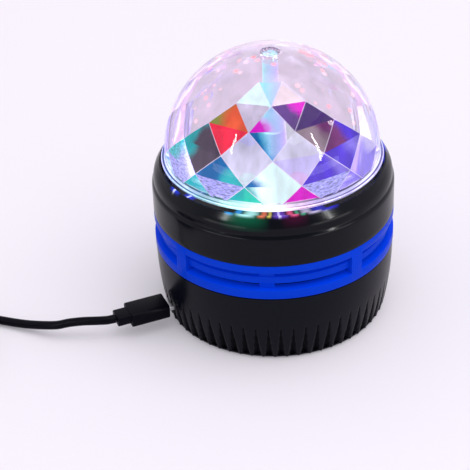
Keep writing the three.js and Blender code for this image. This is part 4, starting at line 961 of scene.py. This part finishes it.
# Upper housing
def make_upper_housing():
    low = UPPER_LOW.z
    skirt_inner = BODY_RADIUS - SKIRT_WALL
    skirt_top = low + SKIRT_HEIGHT
    break_radius = BODY_RADIUS - BREAK_INSET
    break_z = skirt_top + BREAK_HEIGHT
    lip_radius = BODY_RADIUS - LIP_INSET
    lip_z = UPPER_HIGH.z
    tray_top = lip_z - TRAY_DEPTH
    soft = UPPER_EDGE
    guide = [(BODY_RADIUS, low + soft), (BODY_RADIUS, (low + skirt_top) / 2),
             (BODY_RADIUS, skirt_top - BREAK_INSET),
             (BODY_RADIUS - BREAK_INSET / 4, skirt_top + BREAK_INSET), (break_radius, break_z)]
    for i in range(1, SHOULDER_STEPS + 1):
        share = i / SHOULDER_STEPS
        straight = break_radius + (lip_radius - break_radius) * share
        radius = straight + SHOULDER_BULGE * math.sin(math.pi * share)
        guide.append((radius, break_z + (lip_z - soft / 2 - break_z) * share))
    points = [(skirt_inner, low), (BODY_RADIUS - soft, low), (BODY_RADIUS - soft / 4, low + soft / 4)]
    points += [tuple(point) for point in through([Vector(g) for g in guide], 4)]
    points += [
        (lip_radius - soft / 2, lip_z), (lip_radius - LIP_THICKNESS, lip_z),
        (lip_radius - LIP_THICKNESS, tray_top), (TRAY_HOLE, tray_top), (TRAY_HOLE, tray_top - TRAY_THICKNESS),
        (skirt_inner, tray_top - TRAY_THICKNESS),
    ]
    shell = lathe("upper_shell", points, 2 * SHELL_STEPS)

    # Painted light on the lip and down the shoulder, in each leak's colour, fading below the lip
    def painted_leak(point, _, __):
        glow = (0.0, 0.0, 0.0)
        across = off_axis(point)
        inside = across < lip_radius - LIP_THICKNESS / 2
        if across > lip_radius - 2 * LIP_THICKNESS and point.z > tray_top - soft:
            for angle, half, reach, color in PAINTED_LEAKS:
                side = max(0.0, 1 - ((from_front(point) - angle) / half) ** 2)
                fall = 1 if inside else math.exp(-((lip_z - point.z) / (reach * MM)) ** 2)
                glow = tuple(g + c * side * fall for g, c in zip(glow, color))
        return (*glow, 1)

    painted(shell, "painted_leak", painted_leak)
    shaded(shell, 40)
    return finished(shell, "housing", "black_gloss", "upper_housing")


# Clear dome
def facet_point(ring, i, centre_z, radius):
    tilt = math.radians(FIRST_FACET_POLAR + ring * FACET_POLAR_STEP)
    spin = FACET_PHASE + (i + (0 if ring % 2 else 0.5)) * 360 / FACET_COUNT
    return polar(radius * math.sin(tilt), spin, centre_z + radius * math.cos(tilt))


def facet_faces():
    """Each facet's corners as (ring, place), then its ring of kites, its place there and which half it is."""
    facets = []
    for ring in range(FACET_RINGS - 1):
        for i in range(FACET_COUNT):
            j = i + 1
            if ring % 2:
                facets.append((((ring, i), (ring + 1, i), (ring, j)), ring, i, 1))
                facets.append((((ring + 1, i), (ring + 1, j), (ring, j)), ring + 1, j, 0))
            else:
                facets.append((((ring, i), (ring + 1, i), (ring + 1, j)), ring + 1, i, 0))
                facets.append((((ring, i), (ring + 1, j), (ring, j)), ring, j, 1))
    return facets


def facet_hues(ring, place, half):
    """The one or two hues of a facet, from its kite's place in the pattern, and the second's lean."""
    entries = KITES[min(ring, len(KITES) - 1)].split()
    halves = entries[(place - FRONT_KITE) % len(entries)].split("/")
    names = halves[min(half, len(halves) - 1)].split(">")
    return names[0], names[-1], LEANS[len(names) - 1]


def faceted_room(centre_z, radius, floor_z):
    verts, faces = [], []
    for ring in range(FACET_RINGS):
        verts += [facet_point(ring, i, centre_z, radius) for i in range(FACET_COUNT)]
    top = len(verts)
    verts.append(Vector((0, 0, verts[0].z)))
    verts.append(Vector((0, 0, verts[-2].z)))
    facets = facet_faces()
    for corners, _, _, _ in facets:
        faces.append(tuple(ring * FACET_COUNT + i % FACET_COUNT for ring, i in corners))
    last = (FACET_RINGS - 1) * FACET_COUNT
    for i in range(FACET_COUNT):
        j = (i + 1) % FACET_COUNT
        faces += [(top, i, j), (top + 1, last + j, last + i)]
    room = reshaped(new_object("facets", verts, faces), face_outwards)

    def bevel_outlines(shape):
        """Bevels the edges between two rings, but for those between clear facets."""
        outlines = []
        for edge in shape.edges:
            low, high = sorted(vert.index for vert in edge.verts)
            sides = [face.index for face in edge.link_faces if face.index < len(facets)]
            names = {facet_hues(*facets[side][1:])[0] for side in sides}
            if high < top and low // FACET_COUNT != high // FACET_COUNT and names != {"clear"}:
                outlines.append(edge)
        bmesh.ops.bevel(shape, geom=outlines, offset=FACET_EDGE, segments=1, affect="EDGES",
                        clamp_overlap=True)

    reshaped(room, bevel_outlines)
    block = prism("kept", [(-1, -1), (1, -1), (1, 1), (-1, 1)], floor_z, floor_z + 1)
    return combined(room, [block], "INTERSECT")


def hue_at(stops, point):
    """Blends the hues of two neighbouring stops at the point's angle from the front."""
    away = from_front(point)
    for (start, first), (end, last) in zip(stops, stops[1:]):
        if away <= end:
            return mixed(first, last, (away - start) / (end - start))
    return stops[-1][1]


# Painted light on the rim: brightest where the glow at the front is, its edges paler as a painted highlight
def rim_hue(point, at_edge):
    glow = max(0.0, 1 - ((from_front(point) - GLOW_MIDDLE) / GLOW_HALF) ** 2)
    hue = hue_at(RIM_STOPS, point)
    held = RIM_FACE_SHARE + (1 - RIM_FACE_SHARE) * glow
    hue = mixed(hue, RIM_EDGE_HUE, 0.5) if at_edge else [h * held for h in hue]
    return (*hue, RIM_SEE_THROUGH)


def second_share(point, middle, lean):
    """How far the second hue takes over at a point, from where the facet's middle is."""
    turn = (from_front(point) - from_front(middle) + 180) % 360 - 180
    outwards = 1 if from_front(middle) > -1 else -1
    return 0.5 + turn / KITE_ANGLE * outwards + HUE_RISE * (point.z - middle.z) + lean


def look(first=(0, 0, 0, 1), second=None, **more):
    """What a face of the dome shows: two painted-light hues with their see-through shares, and what else
    differs.
    """
    plain = {"both_sides": 0.0, "sparkling": 0.0, "brushed": 0.0, "lean": 0.0, "middle": None, "rim": None}
    return {**plain, "first": first, "second": second or first, **more}


def facet_look(normal, out, facets):
    """The painted light of a face inside the dome: a facet, the top's cap, or an edge between facets."""
    way = out.normalized()
    closest = max(facets, key=lambda f: f[0].dot(normal) + f[1].normalized().dot(way))
    if closest[0].dot(normal) > FACET_MATCH:
        first, second, lean = closest[2]
        return look(HUES[first], HUES[second], sparkling=float(first == "clear"),
                    brushed=float(BRUSHED in (first, second)), lean=lean, middle=closest[1])
    if way.z > math.cos(math.radians(FIRST_FACET_POLAR)):
        return look(HUES["clear"], sparkling=1.0)
    near = {hues[0] for _, middle, hues in facets if middle.normalized().dot(way) > FACET_NEAR}
    # Edges between coloured facets get a pale painted highlight
    if way.z > 0 and near - {"clear"}:
        return look(HUES["edge"])
    return look()


def look_of(face, centre_z, inner, ceiling, facets):
    """The painted light of a face of the dome, by where it lies: the column, its webs, inside, the pole, the
    rim.
    """
    out = face.center - Vector((0, 0, centre_z))
    across = off_axis(face.center)
    slope = abs(face.normal.z)
    # The column glows with painted light, whiter towards its foot
    if across < COLUMN_BOTTOM_RADIUS * COLUMN_SLACK and face.center.z < ceiling - GUSSET_HEIGHT:
        white = COLUMN_WHITE * smooth_step((ceiling - COLUMN_CHANGE - face.center.z) / COLUMN_CHANGE)
        hue = mixed(hue_at(COLUMN_STOPS, face.center), WHITE_HUE, white)
        return look((*hue, COLUMN_SEE_THROUGH), both_sides=1.0)
    if across < COLUMN_TOP_RADIUS + GUSSET_REACH and slope < WEB_SLOPE and out.length > inner * WEB_START:
        return look()
    if out.length < inner * FACET_SLACK and face.normal.dot(out) < 0 and out.z > -DOME_CENTRE_RISE / 2:
        return facet_look(face.normal, out, facets)
    sunk = inner < out.z and out.length < DOME_RADIUS - POLE_DIMPLE_DEPTH / 2
    # The pole's dip gets a dark grey painted shade
    if across < POLE_DIMPLE_RADIUS * SLACK and sunk:
        return look(HUES["painted_pole_shade"], both_sides=1.0)
    # The rim's faces and edges get its painted glow
    if slope < RIM_SLOPE and RIM_INSIDE < across < inner * SLACK and out.z < DOME_WALL:
        return look(both_sides=1.0, rim="face")
    if out.z < -DOME_CENTRE_RISE / 4 and across > inner:
        upright = slope <= EDGE_SLOPES[0] and across >= DOME_RADIUS + DOME_FLARE
        at_edge = slope < EDGE_SLOPES[1] and not upright
        return look(both_sides=1.0, rim="edge" if at_edge else "face")
    return look()


def paint_dome(shell, centre_z, inner, ceiling):
    """Stores each face's painted-light hues and how much shows through it."""
    centre = Vector((0, 0, centre_z))
    facets = []
    for corners, *place in facet_faces():
        a, b, c = (facet_point(r, i, centre_z, inner) for r, i in corners)
        normal = (b - a).cross(c - a).normalized()
        middle = (a + b + c) / 3 - centre
        facets.append((normal if normal.dot(middle) < 0 else -normal, middle, facet_hues(*place)))
    layers = [shell.data.color_attributes.new(name, "FLOAT_COLOR", "CORNER") for name in HUE_LAYERS]
    for face in shell.data.polygons:
        shown = look_of(face, centre_z, inner, ceiling, facets)
        for corner in face.loop_indices:
            point = shell.data.vertices[shell.data.loops[corner].vertex_index].co
            first, second, share = shown["first"], shown["second"], 0.0
            if shown["rim"]:
                first = second = rim_hue(point, shown["rim"] == "edge")
            if shown["middle"]:
                share = second_share(point - centre, shown["middle"], shown["lean"])
            colors = [(*hue[:3], hue[3] ** 2) for hue in (first, second)]
            colors.append((share, shown["both_sides"], shown["sparkling"], shown["brushed"]))
            for layer, color in zip(layers, colors):
                layer.data[corner].color = color


def fill_ends(shape):
    """Closes the ring between a profile's last and first points."""
    bmesh.ops.holes_fill(shape, edges=[e for e in shape.edges if e.is_boundary])
    bmesh.ops.bridge_loops(shape, edges=[e for e in shape.edges if e.is_boundary])


def make_column(ceiling):
    foot_z = DOME_LOW.z
    bore = SHAFT_RADIUS + FIT_GAP
    bore_top = foot_z + COLUMN_GRIP + FIT_GAP
    column = lathe("column", [(bore, foot_z), (COLUMN_BOTTOM_RADIUS, foot_z),
                              (COLUMN_TOP_RADIUS, ceiling - GUSSET_HEIGHT), (COLUMN_TOP_RADIUS, ceiling),
                              (0, ceiling), (0, bore_top), (bore, bore_top)], 48, False)
    return reshaped(column, fill_ends, face_outwards)


def make_gussets(ceiling):
    gussets = []
    reach = COLUMN_TOP_RADIUS + GUSSET_REACH
    outline = [(0, ceiling), (0, ceiling - GUSSET_HEIGHT),
               (reach, ceiling - DOME_WALL), (reach, ceiling - DOME_WALL / 2)]
    for i in range(QUARTERS):
        web = prism("gusset", outline, -GUSSET_THICKNESS / 2, GUSSET_THICKNESS / 2)
        web.data.transform(turned(FACET_PHASE + 90 * i, "Z") @ turned(90, "X"))
        gussets.append(web)
    return gussets


def make_pole_cuts(pole_z):
    """The notches round the dome's pole, and the small dip in their middle."""
    low, high = pole_z - NOTCH_DEPTH, pole_z + NOTCH_DEPTH
    inside, outside = POLE_DIMPLE_RADIUS / 2, POLE_DIMPLE_RADIUS
    outline = [(inside, -NOTCH_WIDTH / 4), (outside, -NOTCH_WIDTH / 2),
               (outside, NOTCH_WIDTH / 2), (inside, NOTCH_WIDTH / 4)]
    cuts = []
    for i in range(POLE_NOTCHES):
        notch = prism("notch", outline, low, high)
        notch.data.transform(turned(360 * i / POLE_NOTCHES, "Z"))
        cuts.append(notch)
    return [*cuts, prism("gate", [polar(NOTCH_WIDTH, 45 * i)[:2] for i in range(8)], low, high)]


def make_dome():
    rim_z = UPPER_HIGH.z + RIM_CLEARANCE
    rim_top = rim_z + DOME_RIM_HEIGHT
    rim_radius = DOME_RADIUS + DOME_RIM_PROUD
    centre_z = rim_top + DOME_CENTRE_RISE
    inner = DOME_RADIUS - DOME_WALL
    dimple = math.asin(POLE_DIMPLE_RADIUS / DOME_RADIUS)
    pole_z = centre_z + DOME_RADIUS * math.cos(dimple) - POLE_DIMPLE_DEPTH
    outside = [(0, rim_z), (rim_radius - RIM_EDGE, rim_z), (rim_radius, rim_z + RIM_EDGE),
               (rim_radius, rim_top - RIM_EDGE), (rim_radius - RIM_EDGE, rim_top),
               (DOME_RADIUS + DOME_FLARE, rim_top)]
    for i in range(DOME_ARC_STEPS + 1):
        lift = i / DOME_ARC_STEPS * (math.pi / 2 - dimple)
        outside.append((DOME_RADIUS * math.cos(lift), centre_z + DOME_RADIUS * math.sin(lift)))
    outside += [(POLE_DIMPLE_RADIUS - POLE_DIMPLE_DEPTH, pole_z), (0, pole_z)]
    shell = lathe("dome_shell", outside, DOME_STEPS, False)

    floor_z = rim_z + DOME_SKIRT_HEIGHT
    facets = faceted_room(centre_z, inner, floor_z)
    tilt = math.radians(FIRST_FACET_POLAR)
    cap_low = centre_z + inner * math.cos(tilt) - MM
    cap = [(0, cap_low), (inner * math.sin(tilt) - DOME_WALL, cap_low)]
    for i in range(CAP_STEPS + 1):
        lean = tilt * (1 - i / CAP_STEPS)
        cap.append((inner * math.sin(lean), centre_z + inner * math.cos(lean)))
    cap_room = lathe("cap", cap, DOME_STEPS, False)
    skirt_radius = DOME_RADIUS - DOME_SKIRT_WALL
    skirt_top = floor_z + DOME_SKIRT_WALL / 4
    skirt = lathe("skirt", [(0, rim_z - MM), (skirt_radius, rim_z - MM), (skirt_radius, skirt_top),
                            (0, skirt_top)], DOME_STEPS, False)
    combined(shell, [facets, cap_room, skirt], "DIFFERENCE")

    ceiling = centre_z + inner + DOME_WALL / 4
    combined(shell, [make_column(ceiling)], "UNION")
    combined(shell, make_gussets(ceiling), "UNION")
    combined(shell, make_pole_cuts(pole_z), "DIFFERENCE")
    paint_dome(shell, centre_z, inner, ceiling)
    shaded(shell, 3)
    return finished(shell, "dome", "clear_plastic", "clear_dome")


# Floor, world and lights
def make_floor():
    half = FLOOR_HALF
    corners = [(-half, -half, -FLOOR_DROP), (half, -half, -FLOOR_DROP),
               (half, half, -FLOOR_DROP), (-half, half, -FLOOR_DROP)]
    floor = new_object("floor", corners, [(0, 1, 2, 3)])
    material, tree, shader = new_material("pale_floor")
    seen = added(tree, "ShaderNodeLightPath")
    filled(tree, shader, {
        "Base Color": FLOOR_COLOR, "Roughness": 0.9, "Specular IOR Level": 0,
        "Emission Color": FLOOR_LIFT, "Emission Strength": seen.outputs["Is Camera Ray"]})
    floor.data.materials.append(material)


def backdrop(tree, color, strength):
    return added(tree, "ShaderNodeBackground", {"Color": color, "Strength": strength}).outputs[0]


def make_world():
    """A backdrop that is seen, also in gloss and through the dome, and an even sky that lights the rest."""
    world = bpy.data.worlds.new("pale_world")
    bpy.context.scene.world = world
    world.use_nodes = True
    tree = world.node_tree
    tree.nodes.clear()
    place = added(tree, "ShaderNodeTexCoord").outputs["Generated"]
    values = {0: place, 1: polar(1, VIEW_SIDE)}
    facing = added(tree, "ShaderNodeVectorMath", values, operation="DOT_PRODUCT")
    dimmed = ranged(tree, facing.outputs["Value"], 1, FRONT_DIMNESS, *FRONT_SPAN)
    path = added(tree, "ShaderNodeLightPath")
    direct = worked(tree, "MAXIMUM", path.outputs["Is Camera Ray"], path.outputs["Is Glossy Ray"])
    direct = worked(tree, "MAXIMUM", direct, path.outputs["Is Transmission Ray"])
    sky = backdrop(tree, SKY_COLOR, SKY_STRENGTH)
    seen = backdrop(tree, BACKDROP_COLOR, dimmed)
    mix = added(tree, "ShaderNodeMixShader", {0: direct, 1: sky, 2: seen})
    added(tree, "ShaderNodeOutputWorld", {"Surface": mix.outputs[0]})


def make_lights():
    for name, azimuth, elevation, distance, width, height, power, on_matt in LIGHTS:
        data = bpy.data.lights.new(name, "AREA")
        data.shape = "RECTANGLE"
        data.size = width
        data.size_y = height
        data.energy = power
        light = placed(name, data)
        back = towards(VIEW_AZIMUTH + azimuth, elevation)
        light.location = LIGHT_AIM + back * distance
        light.rotation_mode = "QUATERNION"
        light.rotation_quaternion = (-back).to_track_quat("-Z", "Y")
        light.visible_diffuse = on_matt


make_camera()
dress_nodes()
make_cord()
make_lower_housing()
make_vent_ring()
make_upper_housing()
make_dome()
make_floor()
make_world()
make_lights()

bpy.context.scene.view_settings.view_transform = "Standard"
